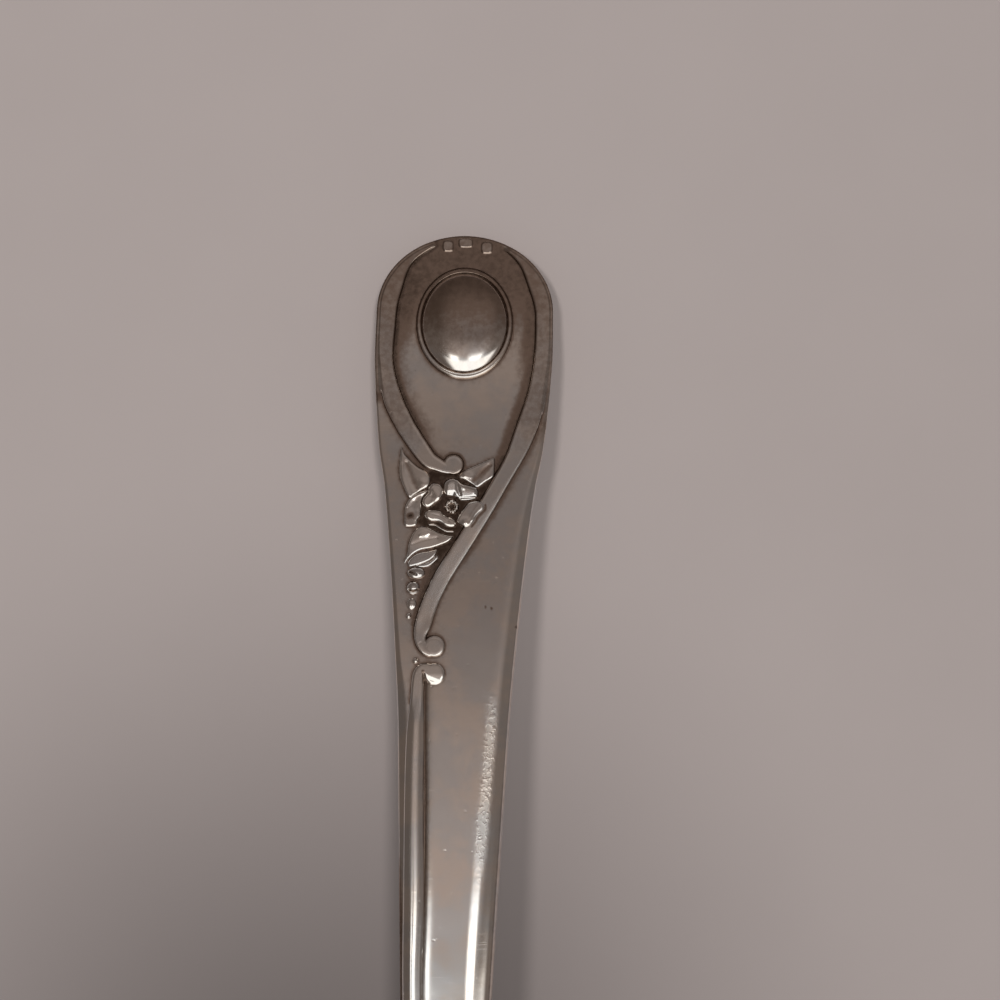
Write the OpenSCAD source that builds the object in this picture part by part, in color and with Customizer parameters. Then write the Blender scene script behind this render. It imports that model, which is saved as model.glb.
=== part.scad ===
// Infant feeding spoon with a struck floral handle, lying face up on a table.
// Across is X, the handle's tip points along +Y, up is Z and the table is at zero.

/* [Overall] */
// Length from the bowl's lip to the handle's tip
overall_length = 140; // [128:1:156]

/* [Bowl] */
// Length of the bowl from lip to heel
bowl_length = 41; // [37:0.5:45]
// Width of the bowl at its widest place
bowl_width = 27; // [24:0.5:30]
// Height of the rim at the widest place
bowl_height = 7.8; // [7:0.1:9]
// Thickness of the bowl's wall
bowl_wall = 1.1; // [0.9:0.05:1.4]
// Distance from the widest place back to the heel
heel_reach = 19; // [17:0.5:21]
// Rise of the rim towards the heel
heel_rise = 0.9; // [0.5:0.1:1.4]
// Rise of the rim towards the lip
lip_rise = 0.4; // [0:0.1:0.8]
// Length of the flat worn on the underside
rest_length = 5; // [3:0.5:7]

/* [Handle] */
// Width of the broad end
tip_width = 14; // [12.5:0.1:15.5]
// Length of the half-ellipse that rounds the broad end
tip_round = 6.2; // [5.4:0.1:7.4]
// Distance from the tip at which the broad end starts to narrow
broad_length = 10.5; // [9.5:0.1:11.5]
// Width at the narrowest place
neck_width = 4.8; // [4.2:0.1:5.6]
// Distance from the bowl's heel to the narrowest place
neck_reach = 8; // [6:0.5:10]
// Width where the handle meets the bowl
heel_width = 5.8; // [5.2:0.1:6.6]
// Height of the arch above the table
arch_height = 12.8; // [11.5:0.1:14.5]
// Thickness at the tip
tip_thickness = 1.6; // [1.4:0.05:1.9]
// Thickness half way along
grip_thickness = 2; // [1.7:0.05:2.4]
// Thickness at the neck
neck_thickness = 3; // [2.6:0.05:3.4]
// Thickness where the handle meets the bowl
heel_thickness = 3.3; // [2.9:0.05:3.6]
// Length of the drop that runs under the bowl
drop_length = 7; // [5:0.5:9]
// Solder gap between the drop and the bowl
joint_gap = 0.05; // [0.02:0.01:0.1]
// Edge break along the broad end
tip_edge = 0.15; // [0.1:0.01:0.2]
// Width of the rounded shoulder along the right of the grip
right_shoulder = 2.15; // [1.6:0.05:2.4]
// Width of the rounded shoulder along the left of the grip
left_shoulder = 1.1; // [0.8:0.05:1.2]
// Radius of the underside's edges
under_round = 0.7; // [0.5:0.05:0.8]

/* [Border] */
// Widest stretch of the scroll borders
scroll_width = 1.58; // [1.3:0.02:1.8]
// Height of the scroll borders
scroll_height = 0.42; // [0.3:0.02:0.6]
// Width of the reed along the left edge
reed_width = 1.3; // [1.1:0.02:1.5]
// Height of the reed
reed_height = 0.34; // [0.25:0.01:0.45]
// Distance from the tip to the end of the reed's straight run
reed_straight = 58; // [54:1:62]
// Width of the middle tongue at the crest
tongue_width = 1.15; // [0.95:0.05:1.3]
// Height of the tongues at the crest
tongue_height = 0.26; // [0.2:0.01:0.35]

/* [Medallion] */
// Width of the oval boss
boss_width = 7.7; // [6.6:0.1:8.4]
// Length of the oval boss
boss_length = 9; // [8:0.1:9.8]
// Height of the boss
boss_height = 1; // [0.7:0.05:1.3]
// Width of the plain rim round the boss
boss_rim = 0.42; // [0.3:0.02:0.6]
// Height of that rim
rim_height = 0.3; // [0.2:0.02:0.4]
// Distance from the tip to the middle of the boss
boss_from_tip = 7.1; // [6.7:0.1:7.7]

/* [Flower] */
// Distance from the tip to the middle of the flower
flower_from_tip = 21.7; // [21.4:0.1:22]
// Size of the petals against the drawn flower
petal_scale = 1; // [0.9:0.01:1.1]
// Height of the petals
petal_height = 0.5; // [0.35:0.01:0.65]
// Diameter of the flower's eye
eye_width = 1.04; // [0.9:0.02:1.2]
// Height of the eye's ring
eye_height = 0.42; // [0.3:0.01:0.6]
// Height of the leaves
leaf_height = 0.4; // [0.28:0.01:0.5]
// Height of the largest bud
bud_height = 0.42; // [0.3:0.01:0.5]

/* [Fit] */
// Gap under the raised ornament
seat_gap = 0.02; // [0.01:0.01:0.04]
// Gap between neighbouring motifs
motif_gap = 0.04; // [0.03:0.01:0.06]

/* [Hidden] */

silver = [0.62, 0.58, 0.55];
bright_silver = [0.72, 0.69, 0.66];

tip_y = overall_length / 2;
handle_length = overall_length - bowl_length;
neck_at = handle_length - neck_reach;
drop_end = handle_length + drop_length;
bowl_y = tip_y - handle_length - heel_reach;
lip_reach = bowl_length - heel_reach;

// Reads a smooth curve through rows of [place, value]. Past its ends it runs on straight.
function rate(rows, i) =
    let (a = rows[max(i - 1, 0)], b = rows[min(i + 1, len(rows) - 1)])
    (b[1] - a[1]) / (b[0] - a[0]);
function row_at(rows, x, i = 0) =
    i >= len(rows) - 2 || x < rows[i + 1][0] ? i : row_at(rows, x, i + 1);
function between(a, b, rate_a, rate_b, t) =
    a * (1 + 2 * t) * pow(1 - t, 2) + rate_a * t * pow(1 - t, 2)
    + b * t * t * (3 - 2 * t) - rate_b * t * t * (1 - t);
function read(rows, x) =
    let (i = row_at(rows, x), last = len(rows) - 1, span = rows[i + 1][0] - rows[i][0])
    x < rows[0][0] ? rows[0][1] + rate(rows, 0) * (x - rows[0][0])
    : x > rows[last][0] ? rows[last][1] + rate(rows, last) * (x - rows[last][0])
    : between(rows[i][1], rows[i + 1][1], rate(rows, i) * span, rate(rows, i + 1) * span,
              (x - rows[i][0]) / span);

// Points on a smooth curve through rows of any width, with a number of steps from row to row.
function bend(a, b, c, d, t) =
    0.5 * (2 * b + (c - a) * t + (2 * a - 5 * b + 4 * c - d) * t * t
           + (3 * b - 3 * c + d - a) * t * t * t);
function through(rows, steps) =
    let (last = len(rows) - 1)
    [for (i = [0 : last - 1], k = [0 : i == last - 1 ? steps : steps - 1])
        bend(rows[max(i - 1, 0)], rows[i], rows[i + 1], rows[min(i + 2, last)], k / steps)];

// Triangles between neighbouring rings of n points each.
function walls(rings, n) =
    [for (k = [0 : len(rings) - 2], i = [0 : n - 1])
        let (a = k * n + i, b = k * n + (i + 1) % n)
        each [[a, b + n, b], [a, a + n, b + n]]];
// A closed solid through rings of equal count, with a fan to a middle point at each end.
module skin(rings, first_middle, last_middle) {
    n = len(rings[0]);
    top = (len(rings) - 1) * n;
    points = concat([for (ring = rings) each ring], [first_middle, last_middle]);
    first = [for (i = [0 : n - 1]) [top + n, i, (i + 1) % n]];
    last = [for (i = [0 : n - 1]) [top + n + 1, top + (i + 1) % n, top + i]];
    polyhedron(points, concat(first, walls(rings, n), last), convexity = 8);
}

// The bowl: two half-ellipses in plan, and a wall that steepens from the flat to the rim.
bowl_steepness = 2.4;
bowl_sides = 56;
bowl_rings = 8;
lip_round = 0.45 * bowl_wall;
rest_share = rest_length / bowl_length;

function reach_at(angle) = sin(angle) > 0 ? heel_reach : lip_reach;
function rim_z(angle) = bowl_height + (sin(angle) > 0 ? heel_rise : lip_rise) * pow(sin(angle), 2);
function steep(share) = pow(share, bowl_steepness);
function outer_rise(share) = (steep(share) - steep(rest_share)) / (1 - steep(rest_share));
function bowl_ring(share, inset, height) =
    [for (i = [0 : bowl_sides - 1])
        let (angle = 360 * i / bowl_sides)
        [share * (bowl_width / 2 - inset) * cos(angle),
         bowl_y + share * (reach_at(angle) - inset) * sin(angle),
         height(angle)]];
function outer_ring(share, grow) =
    bowl_ring(share, -grow, function(angle) (rim_z(angle) - lip_round) * outer_rise(share) - grow);
function inner_ring(share) =
    bowl_ring(share, bowl_wall,
              function(angle) bowl_wall + (rim_z(angle) - lip_round - bowl_wall) * steep(share));
function lip_ring(turn) =
    bowl_ring(1, bowl_wall * (1 - cos(turn)) / 2,
              function(angle) rim_z(angle) - lip_round * (1 - sin(turn)));
function wall_shares() =
    [for (k = [0 : bowl_rings]) rest_share + (1 - rest_share) * sin(90 * k / bowl_rings)];

module bowl() {
    shares = wall_shares();
    outside = [for (share = shares) outer_ring(share, 0)];
    lip = [for (turn = [45, 90, 135]) lip_ring(turn)];
    inside = [for (k = [bowl_rings : -1 : 0]) inner_ring(shares[k])];
    color(silver)
        skin(concat(outside, lip, inside), [0, bowl_y, 0], [0, bowl_y, bowl_wall]);
}

// All that lies in the bowl or above it, grown by a gap, to cut the handle's drop to fit.
module bowl_space(gap) {
    outside = [for (share = wall_shares()) outer_ring(share, gap)];
    cover = bowl_ring(1, -gap, function(angle) 2 * arch_height);
    skin(concat(outside, [cover]), [0, bowl_y, -gap], [0, bowl_y, 2 * arch_height]);
}

// The handle: its plan, its arch and its thickness, each as a curve of the distance from the tip.
taper_rows = [[0.08, 0.885], [0.12, 0.765], [0.19, 0.63], [0.27, 0.505], [0.345, 0.415],
              [0.465, 0.325], [0.59, 0.235], [0.8, 0.08]];
width_rows = concat(
    [[tip_round, tip_width / 2], [broad_length, tip_width / 2]],
    [for (row = taper_rows)
        [broad_length + row[0] * (neck_at - broad_length),
         neck_width / 2 + row[1] * (tip_width - neck_width) / 2]],
    [[neck_at, neck_width / 2], [handle_length, heel_width / 2]]);
arch_rows = concat(
    [for (row = [[0.2, 0.325], [0.4, 0.65], [0.59, 0.895], [0.75, 1], [0.88, 0.885]])
        [row[0] * handle_length, tip_thickness + row[1] * (arch_height - tip_thickness)]],
    [[handle_length, bowl_height + heel_rise], [drop_end, bowl_height - heel_rise]]);
face_rows = concat([[under_round, tip_thickness]], arch_rows);
drop_share = 1 - drop_length / heel_reach;
drop_skin = 0.5;
drop_thickness = read(face_rows, drop_end) + drop_skin
    - (bowl_height + heel_rise - lip_round) * outer_rise(drop_share);
thickness_rows = [
    [under_round, tip_thickness], [handle_length / 2, grip_thickness],
    [neck_at, neck_thickness], [handle_length, heel_thickness], [drop_end, drop_thickness]];
right_rows = concat([[12, tip_edge]],
    [for (row = [[18, 0.28], [24, 0.6], [32, 0.72], [41, 0.82], [50, 1], [58, 1], [neck_at, 0.5]])
        [row[0], row[1] * right_shoulder]]);
left_rows = concat([[12, tip_edge]],
    [for (row = [[24, 0.36], [33, 0.68], [36, 1], [44, 1], [58, 0.82], [neck_at, 0.45]])
        [row[0], row[1] * left_shoulder]]);
shoulder_start = right_rows[0][0];
shoulder_fall = 0.45;
drop_blunt = 0.96;
drop_edge_share = 0.8;
tip_steps = 12;
grip_steps = 32;
drop_steps = 6;
shoulder_turns = [0, 20, 40, 60, 78, 90];
under_turns = [0, 30, 60, 90];

function face_z(v) = read(face_rows, v);
function thickness(v) = read(thickness_rows, v);
function half_width(v) =
    v <= 0 ? 0
    : v < tip_round ? tip_width / 2 * sqrt(1 - pow(1 - v / tip_round, 2))
    : v < handle_length ? read(width_rows, v)
    : heel_width / 2 * sqrt(1 - pow(drop_blunt * (v - handle_length) / drop_length, 2));
function shoulder(side, v) =
    v < shoulder_start ? tip_edge : max(tip_edge, read(side > 0 ? right_rows : left_rows, min(v, neck_at)));

stations = concat(
    [for (k = [1 : grip_steps]) tip_round + (handle_length - tip_round) * k / grip_steps],
    [for (k = [1 : drop_steps]) handle_length + drop_length * sin(90 * k / drop_steps)]);
edge_count = tip_steps + len(stations);

// A place on the plan, counted from the tip along one side and drawn in from the edge.
function edge_place(side, i, inset) =
    i <= tip_steps
    ? let (turn = 90 * i / tip_steps)
      [side * (tip_width / 2 - inset) * sin(turn), inset + (tip_round - inset) * (1 - cos(turn))]
    : let (v = stations[i - tip_steps - 1]) [side * (half_width(v) - inset), v];
function edge_v(i) = edge_place(1, i, 0)[1];
function shoulder_point(side, i, turn) =
    let (w = shoulder(side, edge_v(i)), p = edge_place(side, i, w * (1 - sin(turn))))
    [p[0], tip_y - p[1], face_z(p[1]) - shoulder_fall * w * (1 - cos(turn))];
function under_point(side, i, turn) =
    let (v = edge_v(i),
         r = v > handle_length ? min(under_round, drop_edge_share * half_width(v)) : under_round,
         p = edge_place(side, i, r * (1 - cos(turn))))
    [p[0], tip_y - p[1], face_z(p[1]) - thickness(p[1]) + under_round * (1 - sin(turn))];
function edge_ring(point, turn) =
    [for (i = [edge_count : -1 : 0]) point(-1, i, turn), for (i = [1 : edge_count]) point(1, i, turn)];

module handle_blank() {
    rings = concat(
        [for (turn = shoulder_turns) edge_ring(function(s, i, t) shoulder_point(s, i, t), turn)],
        [for (turn = under_turns) edge_ring(function(s, i, t) under_point(s, i, t), turn)]);
    n = len(rings[0]);
    base = (len(rings) - 1) * n;
    tip = edge_count;
    ladder = concat([[tip, tip + 1, tip - 1]],
        [for (i = [1 : edge_count - 1])
            each [[tip - i, tip + i, tip + i + 1], [tip - i, tip + i + 1, tip - i - 1]]]);
    under = [for (f = ladder) [base + f[0], base + f[2], base + f[1]]];
    polyhedron([for (ring = rings) each ring], concat(ladder, walls(rings, n), under), convexity = 8);
}

module handle() {
    color(silver)
        difference() {
            handle_blank();
            bowl_space(joint_gap);
        }
}

// A point on the ornament: across, from the tip, and above the handle's face.
function on_face(u, v, h) = [u, tip_y - v, face_z(v) + seat_gap + h];
// A share of the way from the middle line to where a strip of this width meets the edge.
function across(share, v, w = 0) = share * (half_width(v) - tip_edge - w / 2);

// A raised strip. Its path has rows of [across, from the tip, width, height].
function heading(path, i) =
    let (a = path[max(i - 1, 0)], b = path[min(i + 1, len(path) - 1)], d = [b[0] - a[0], b[1] - a[1]])
    d / norm(d);
function strip_ring(row, dir, profile) =
    let (side = [-dir[1], dir[0]],
         at = function(t, h) on_face(row[0] + side[0] * t * row[2] / 2,
                                     row[1] + side[1] * t * row[2] / 2, h * row[3]))
    concat([at(-1, 0)], [for (p = profile) at(p[0], p[1])], [at(1, 0)]);
module strip(path, profile) {
    rings = [for (i = [0 : len(path) - 1]) strip_ring(path[i], heading(path, i), profile)];
    a = path[0];
    b = path[len(path) - 1];
    skin(rings, on_face(a[0], a[1], a[3] / 2), on_face(b[0], b[1], b[3] / 2));
}
round_profile = [for (turn = [15 : 30 : 165]) [-cos(turn) / cos(15), sin(turn)]];
band_profile = [[-1, 0.5], [-0.86, 0.9], [-0.45, 1], [0.45, 1], [0.86, 0.9], [1, 0.5]];
leaf_profile = [[-1, 0.3], [-0.75, 0.8], [-0.4, 1], [-0.12, 0.85], [0, 0.55],
                [0.12, 0.85], [0.4, 1], [0.75, 0.8], [1, 0.3]];

// The plan of a strip, grown by a gap, as a tall prism that cuts its neighbours clear.
module strip_space(path) {
    edge = function(i, t)
        let (row = path[i], dir = heading(path, i))
        [row[0] + dir[1] * t * row[2] / 2, tip_y - row[1] + dir[0] * t * row[2] / 2];
    outline = concat([for (i = [0 : len(path) - 1]) edge(i, 1)],
                     [for (i = [len(path) - 1 : -1 : 0]) edge(i, -1)]);
    linear_extrude(2 * arch_height)
        offset(delta = motif_gap)
            polygon(outline);
}

// A raised cushion on an outline of [across, from the tip], with rows of [share of outline, height].
module cushion(outline, middle, profile) {
    ring = function(share, h)
        [for (i = [len(outline) - 1 : -1 : 0])
            let (p = middle + share * (outline[i] - middle))
            on_face(p[0], p[1], h)];
    top = profile[len(profile) - 1];
    skin(concat([ring(1, 0)], [for (row = profile) ring(row[0], row[1])]),
         on_face(middle[0], middle[1], 0), on_face(middle[0], middle[1], top[1]));
}
function oval(middle, width, length, count) =
    [for (i = [0 : count - 1])
        let (turn = 360 * i / count)
        middle + [width / 2 * cos(turn), length / 2 * sin(turn)]];
function dome(foot, height) =
    [for (turn = [0 : 18 : 72]) [cos(turn), foot + (height - foot) * sin(turn)]];
// The ball in which a border ends: a low disc with a rounded edge. It is seated a little lower than
// the strip that runs into it.
ball_sides = 28;
ball_profile = [[1, 0.45], [0.95, 0.75], [0.84, 0.93], [0.5, 1]];
module ball(middle, width, height) {
    translate([0, 0, -seat_gap / 2])
        cushion(oval(middle, width, width, ball_sides), middle,
                [for (p = ball_profile) [p[0], p[1] * height]]);
}

// Rows of the borders: [share across, from the tip, share of the width, share of the height].
scroll_steps = 4;
left_scroll_rows = [
    [-0.8, 0.85, 0.15, 0.5], [-1, 1.85, 0.55, 0.8], [-1, 4.25, 0.95, 1], [-1, 7.1, 0.9, 1],
    [-1, 10.6, 0.86, 1], [-0.93, 13.4, 1, 1], [-0.68, 16.2, 1, 1], [-0.34, 18.2, 0.75, 1],
    [-0.2, 18.52, 0.55, 0.9]];
right_scroll_rows = [
    [0.9, 0.9, 0.2, 0.5], [1, 1.65, 0.5, 0.8], [1, 3.85, 0.82, 1], [1, 6.6, 0.66, 1],
    [1, 8.9, 0.68, 1], [1, 12.35, 1, 1], [0.88, 15.4, 1, 1], [0.677, 18.5, 0.75, 1],
    [0.413, 21.5, 0.74, 1], [0.11, 24.5, 0.8, 1], [-0.23, 27.2, 0.82, 0.95],
    [-0.45, 29.35, 0.82, 0.95], [-0.595, 31.2, 0.8, 0.95], [-0.645, 32, 0.66, 0.95],
    [-0.6, 32.55, 0.5, 0.9], [-0.48, 32.78, 0.4, 0.8]];
// The reed runs from the neck, where it fades in, up to its ball.
reed_fade = 7;
reed_rows = [
    [-1, neck_at, 0.3, 0.4], [-1, neck_at - reed_fade, 0.7, 0.9],
    [-0.95, (neck_at + reed_straight) / 2, 0.85, 1], [-0.89, reed_straight, 1, 1],
    [-0.845, 48, 1, 1], [-0.8, 38, 0.95, 1], [-0.755, 36, 0.85, 1], [-0.73, 35, 0.74, 1],
    [-0.66, 34.45, 0.64, 1], [-0.55, 34.12, 0.52, 1], [-0.45, 34.05, 0.4, 0.9]];
// Balls at the ends of the borders: [share across, from the tip].
left_ball = [-0.104, 18.32];
right_ball = [-0.41, 32.56];
reed_ball = [-0.403, 34.52];
ball_width = 1.07 * scroll_width;
ball_height = 1.15 * scroll_height;
function ball_middle(row) = [across(row[0], row[1], ball_width), row[1]];
function border_path(rows, width, height) =
    [for (p = through(rows, scroll_steps))
        let (w = p[2] * width) [across(p[0], p[1], w), p[1], w, p[3] * height]];
left_path = border_path(left_scroll_rows, scroll_width, scroll_height);
right_path = border_path(right_scroll_rows, scroll_width, scroll_height);
reed_path = border_path(reed_rows, reed_width, reed_height);

module left_scroll() {
    color(bright_silver) {
        strip(left_path, band_profile);
        ball(ball_middle(left_ball), ball_width, ball_height);
    }
}
module right_scroll() {
    color(bright_silver)
        difference() {
            union() {
                strip(right_path, band_profile);
                ball(ball_middle(right_ball), ball_width, ball_height);
            }
            petal_space(right_petal);
        }
}
module edge_reed() {
    color(bright_silver) {
        strip(reed_path, round_profile);
        ball(ball_middle(reed_ball), ball_width, ball_height);
    }
}

// Three blunt tongues hang from the edge at the crest: [across, share of the width, length].
tongue_rows = [[-1.5, 0.76, 0.95], [-0.1, 1, 0.8], [1.6, 0.8, 1]];
tongue_blunt = 0.6;
tongue_profile = [[1, 0.4], [0.93, 0.8], [0.8, 0.96], [0.5, 1]];
function blunt(x) = sign(x) * pow(abs(x), tongue_blunt);
function tongue_outline(middle, width, length) =
    [for (turn = [0 : 18 : 342]) middle + [width / 2 * blunt(cos(turn)), length / 2 * blunt(sin(turn))]];
module crest_beads() {
    color(bright_silver)
        for (row = tongue_rows) {
            width = row[1] * tongue_width;
            edge = tip_round * (1 - sqrt(1 - pow((abs(row[0]) + width / 2) / (tip_width / 2), 2)));
            middle = [row[0], edge + tip_edge + row[2] / 2];
            cushion(tongue_outline(middle, width, row[2]), middle,
                    [for (p = tongue_profile) [p[0], p[1] * tongue_height]]);
        }
}

// The boss: a plain flat rim, a narrow groove and a dome.
module medallion_boss() {
    middle = [0, boss_from_tip];
    rim = 1 - 2 * boss_rim / boss_width;
    groove = 0.6 * rim_height;
    rim_rows = [[1, 0.6 * rim_height], [0.98, rim_height], [rim + 0.02, rim_height], [rim, groove]];
    dome_rows = [for (turn = [0 : 15 : 75])
        [(rim - 0.03) * cos(turn), groove + (boss_height - groove) * sin(turn)]];
    color(silver)
        cushion(oval(middle, boss_width, boss_length, 44), middle, concat(rim_rows, dome_rows));
}

// Four notched petals round the eye: [across, along, way it faces, length, width].
flower_share = -0.076;
flower_middle = [across(flower_share, flower_from_tip), flower_from_tip];
top_petal = [0.68, -1.36, 76, 1.52, 2.8];
left_petal = [-1.52, -0.8, 152, 1.34, 2.05];
lower_petal = [-0.94, 0.96, 251, 1.12, 2.55];
right_petal = [1.34, 0.56, 322, 1.42, 2.4];
petal_rows = [top_petal, left_petal, lower_petal, right_petal];
petal_sides = 24;
notch_depth = 0.22;
notch_width = 0.2;
base_narrowing = 0.22;
function petal_middle(row) = flower_middle + petal_scale * [row[0], row[1]];
function petal_outline(row) =
    [for (i = [0 : petal_sides - 1])
        let (turn = 360 * i / petal_sides,
             q = row[4] / 2 * sin(turn) * (1 - base_narrowing * (1 - cos(turn)) / 2),
             dip = cos(turn) > 0 ? notch_depth * row[3] * exp(-pow(q / (notch_width * row[4]), 2)) : 0,
             p = row[3] / 2 * cos(turn) - dip)
        petal_middle(row)
            + petal_scale * [p * cos(row[2]) + q * sin(row[2]), q * cos(row[2]) - p * sin(row[2])]];
petal_profile = [[1, 0.3], [0.92, 0.75], [0.74, 1], [0.48, 0.72], [0.22, 0.5]];
module petal_space(row) {
    linear_extrude(2 * arch_height)
        offset(delta = motif_gap)
            polygon([for (p = petal_outline(row)) [p[0], tip_y - p[1]]]);
}
module eye_space() {
    translate([flower_middle[0], tip_y - flower_middle[1], 0])
        cylinder(h = 2 * arch_height, d = eye_width + 2 * motif_gap, $fn = 32);
}
module flower_petals() {
    color(bright_silver)
        for (row = petal_rows)
            difference() {
                cushion(petal_outline(row), petal_middle(row),
                        [for (p = petal_profile) [p[0], p[1] * petal_height]]);
                eye_space();
            }
}

// The eye: a ring round a small hollow.
eye_profile = [[1, 0.5], [0.9, 0.95], [0.76, 1], [0.62, 0.85], [0.48, 0.4]];
module flower_eye() {
    color(bright_silver)
        cushion(oval(flower_middle, eye_width, eye_width, 24), flower_middle,
                [for (p = eye_profile) [p[0], p[1] * eye_height]]);
}

// Leaves, from foot to tip: [share across, from the tip, width].
leaf_steps = 4;
upper_left_rows = [[-0.53, 20.55, 1.5], [-0.565, 19.9, 1.85], [-0.625, 19, 1.7],
                   [-0.69, 18, 0.95], [-0.725, 17.25, 0.15]];
upper_right_rows = [[0.06, 19.4, 0.5], [0.16, 19.4, 1.35], [0.276, 19.2, 1.8],
                    [0.375, 18.75, 1.5], [0.44, 18, 0.3]];
curled_rows = [[-0.475, 20.75, 0.3], [-0.573, 21.1, 0.72], [-0.637, 21.8, 1.05],
               [-0.65, 22.5, 1.1], [-0.66, 23, 0.75], [-0.655, 23.25, 0.25]];
large_lower_rows = [[-0.11, 24.1, 0.35], [-0.25, 24.05, 0.8], [-0.42, 24.15, 1.25],
                    [-0.565, 24.5, 1.3], [-0.67, 25.12, 0.85], [-0.755, 26, 0.15]];
small_lower_rows = [[-0.25, 25.05, 0.3], [-0.38, 25.32, 0.6], [-0.525, 25.68, 0.74],
                    [-0.66, 26.05, 0.6], [-0.73, 26.42, 0.18]];
function leaf_path(rows) =
    [for (p = through(rows, leaf_steps))
        [across(p[0], p[1]), p[1], p[2], leaf_height * min(1, 0.4 + 0.8 * p[2])]];
upper_left_path = leaf_path(upper_left_rows);
upper_right_path = leaf_path(upper_right_rows);
curled_path = leaf_path(curled_rows);
large_lower_path = leaf_path(large_lower_rows);
small_lower_path = leaf_path(small_lower_rows);

module upper_left_leaf() {
    color(bright_silver)
        difference() {
            strip(upper_left_path, leaf_profile);
            strip_space(left_path);
            petal_space(left_petal);
        }
}
module upper_right_leaf() {
    color(bright_silver)
        difference() {
            strip(upper_right_path, leaf_profile);
            strip_space(left_path);
            strip_space(right_path);
            petal_space(top_petal);
        }
}
module curled_leaf() {
    color(bright_silver)
        difference() {
            strip(curled_path, leaf_profile);
            strip_space(upper_left_path);
            petal_space(left_petal);
            petal_space(lower_petal);
        }
}
module large_lower_leaf() {
    color(bright_silver)
        difference() {
            strip(large_lower_path, leaf_profile);
            strip_space(right_path);
            strip_space(curled_path);
            petal_space(lower_petal);
        }
}
module small_lower_leaf() {
    color(bright_silver)
        difference() {
            strip(small_lower_path, leaf_profile);
            strip_space(right_path);
            strip_space(large_lower_path);
        }
}

// Buds and pearls, from the leaves down: [share across, from the tip, width, length, height share].
bud_rows = [[-0.6, 27, 1.25, 0.95, 1], [-0.655, 28.15, 0.95, 0.95, 0.95],
            [-0.685, 29.4, 0.85, 0.9, 0.85], [-0.73, 30.25, 0.42, 0.46, 0.6], [-0.637, 33.55, 0.4, 0.4, 0.6]];
bud_foot = 0.06;
module bud_spray() {
    color(bright_silver)
        for (row = bud_rows) {
            middle = [across(row[0], row[1]), row[1]];
            difference() {
                cushion(oval(middle, row[2], row[3], 16), middle, dome(bud_foot, row[4] * bud_height));
                strip_space(right_path);
                strip_space(small_lower_path);
            }
        }
}

bowl();
handle();
left_scroll();
right_scroll();
edge_reed();
crest_beads();
medallion_boss();
flower_petals();
flower_eye();
upper_left_leaf();
upper_right_leaf();
curled_leaf();
large_lower_leaf();
small_lower_leaf();
bud_spray();
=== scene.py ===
# %% [markdown]
# # An infant spoon with a struck floral handle
# The spoon lies face up on pale paper, seen from straight above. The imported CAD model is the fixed
# frame: every piece below takes the place of one of its nodes and adds the smooth curves, the carving and
# the worn silver that the solids leave out. The bowl and the handle have the solids' own size. The
# ornament is drawn finer: it is up to 0.25 mm lower, and its sides lie up to 0.6 mm from the solids' in plan.

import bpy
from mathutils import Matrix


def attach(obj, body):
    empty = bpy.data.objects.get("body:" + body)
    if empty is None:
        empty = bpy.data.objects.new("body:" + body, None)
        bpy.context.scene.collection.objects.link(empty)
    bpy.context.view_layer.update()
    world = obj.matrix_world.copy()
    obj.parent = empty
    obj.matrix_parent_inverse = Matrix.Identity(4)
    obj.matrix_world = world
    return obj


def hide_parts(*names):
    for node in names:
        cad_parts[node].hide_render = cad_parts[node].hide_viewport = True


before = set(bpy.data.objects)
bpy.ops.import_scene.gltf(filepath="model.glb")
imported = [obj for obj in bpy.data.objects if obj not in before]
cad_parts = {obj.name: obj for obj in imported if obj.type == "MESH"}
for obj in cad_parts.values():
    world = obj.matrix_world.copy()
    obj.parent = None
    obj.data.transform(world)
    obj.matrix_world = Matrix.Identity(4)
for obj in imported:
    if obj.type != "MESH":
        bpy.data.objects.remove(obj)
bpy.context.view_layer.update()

# %% [markdown]
# ## The camera
# The picture was taken from close above the handle's broad end. A camera that looks straight down from
# 160 mm shows the taper and the arch in the same perspective, and the handle leaves at the lower edge.

# %% Place the camera
import math

import bmesh
import bpy
import numpy as np
from mathutils import Vector

MM = 0.001
TIP_Y = 70.0
scene = bpy.context.scene
scene.view_settings.view_transform = "Standard"

CAMERA_AT, CAMERA_TURN = (3.15, 48.91, 163.5), 1.40
SENSOR_WIDTH, FOCAL_LENGTH = 36.0, 72.8
lens = bpy.data.cameras.new("overhead")
lens.sensor_width, lens.lens = SENSOR_WIDTH, FOCAL_LENGTH
lens.clip_start, lens.clip_end = 0.01, 10.0
camera = bpy.data.objects.new("overhead", lens)
camera.location = Vector(CAMERA_AT) * MM
camera.rotation_euler = (0, 0, math.radians(CAMERA_TURN))
scene.collection.objects.link(camera)
scene.camera = camera
print("camera", CAMERA_AT, "mm, lens", lens.lens, "mm")

# %% [markdown]
# ## Helpers for node materials
# Each finish is a small node tree. These helpers add a node, feed its inputs, blend two colours, do one
# step of arithmetic and stretch a range, so that the cells below read like a recipe.


# %% Node helpers
def add(tree, kind, settings=None, **inputs):
    """Adds a node. Inputs are numbers, colours or sockets, named as on the node."""
    made = tree.nodes.new("ShaderNode" + kind)
    for name, value in (settings or {}).items():
        setattr(made, name, value)
    for name, value in inputs.items():
        feed(tree, made.inputs[name.replace("_", " ")], value)
    return made


def feed(tree, socket, value):
    """Links a socket into an input, or sets the input's own value."""
    if isinstance(value, bpy.types.NodeSocket):
        tree.links.new(value, socket)
    else:
        socket.default_value = (*value, 1.0) if isinstance(value, tuple) and len(value) == 3 else value


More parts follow.
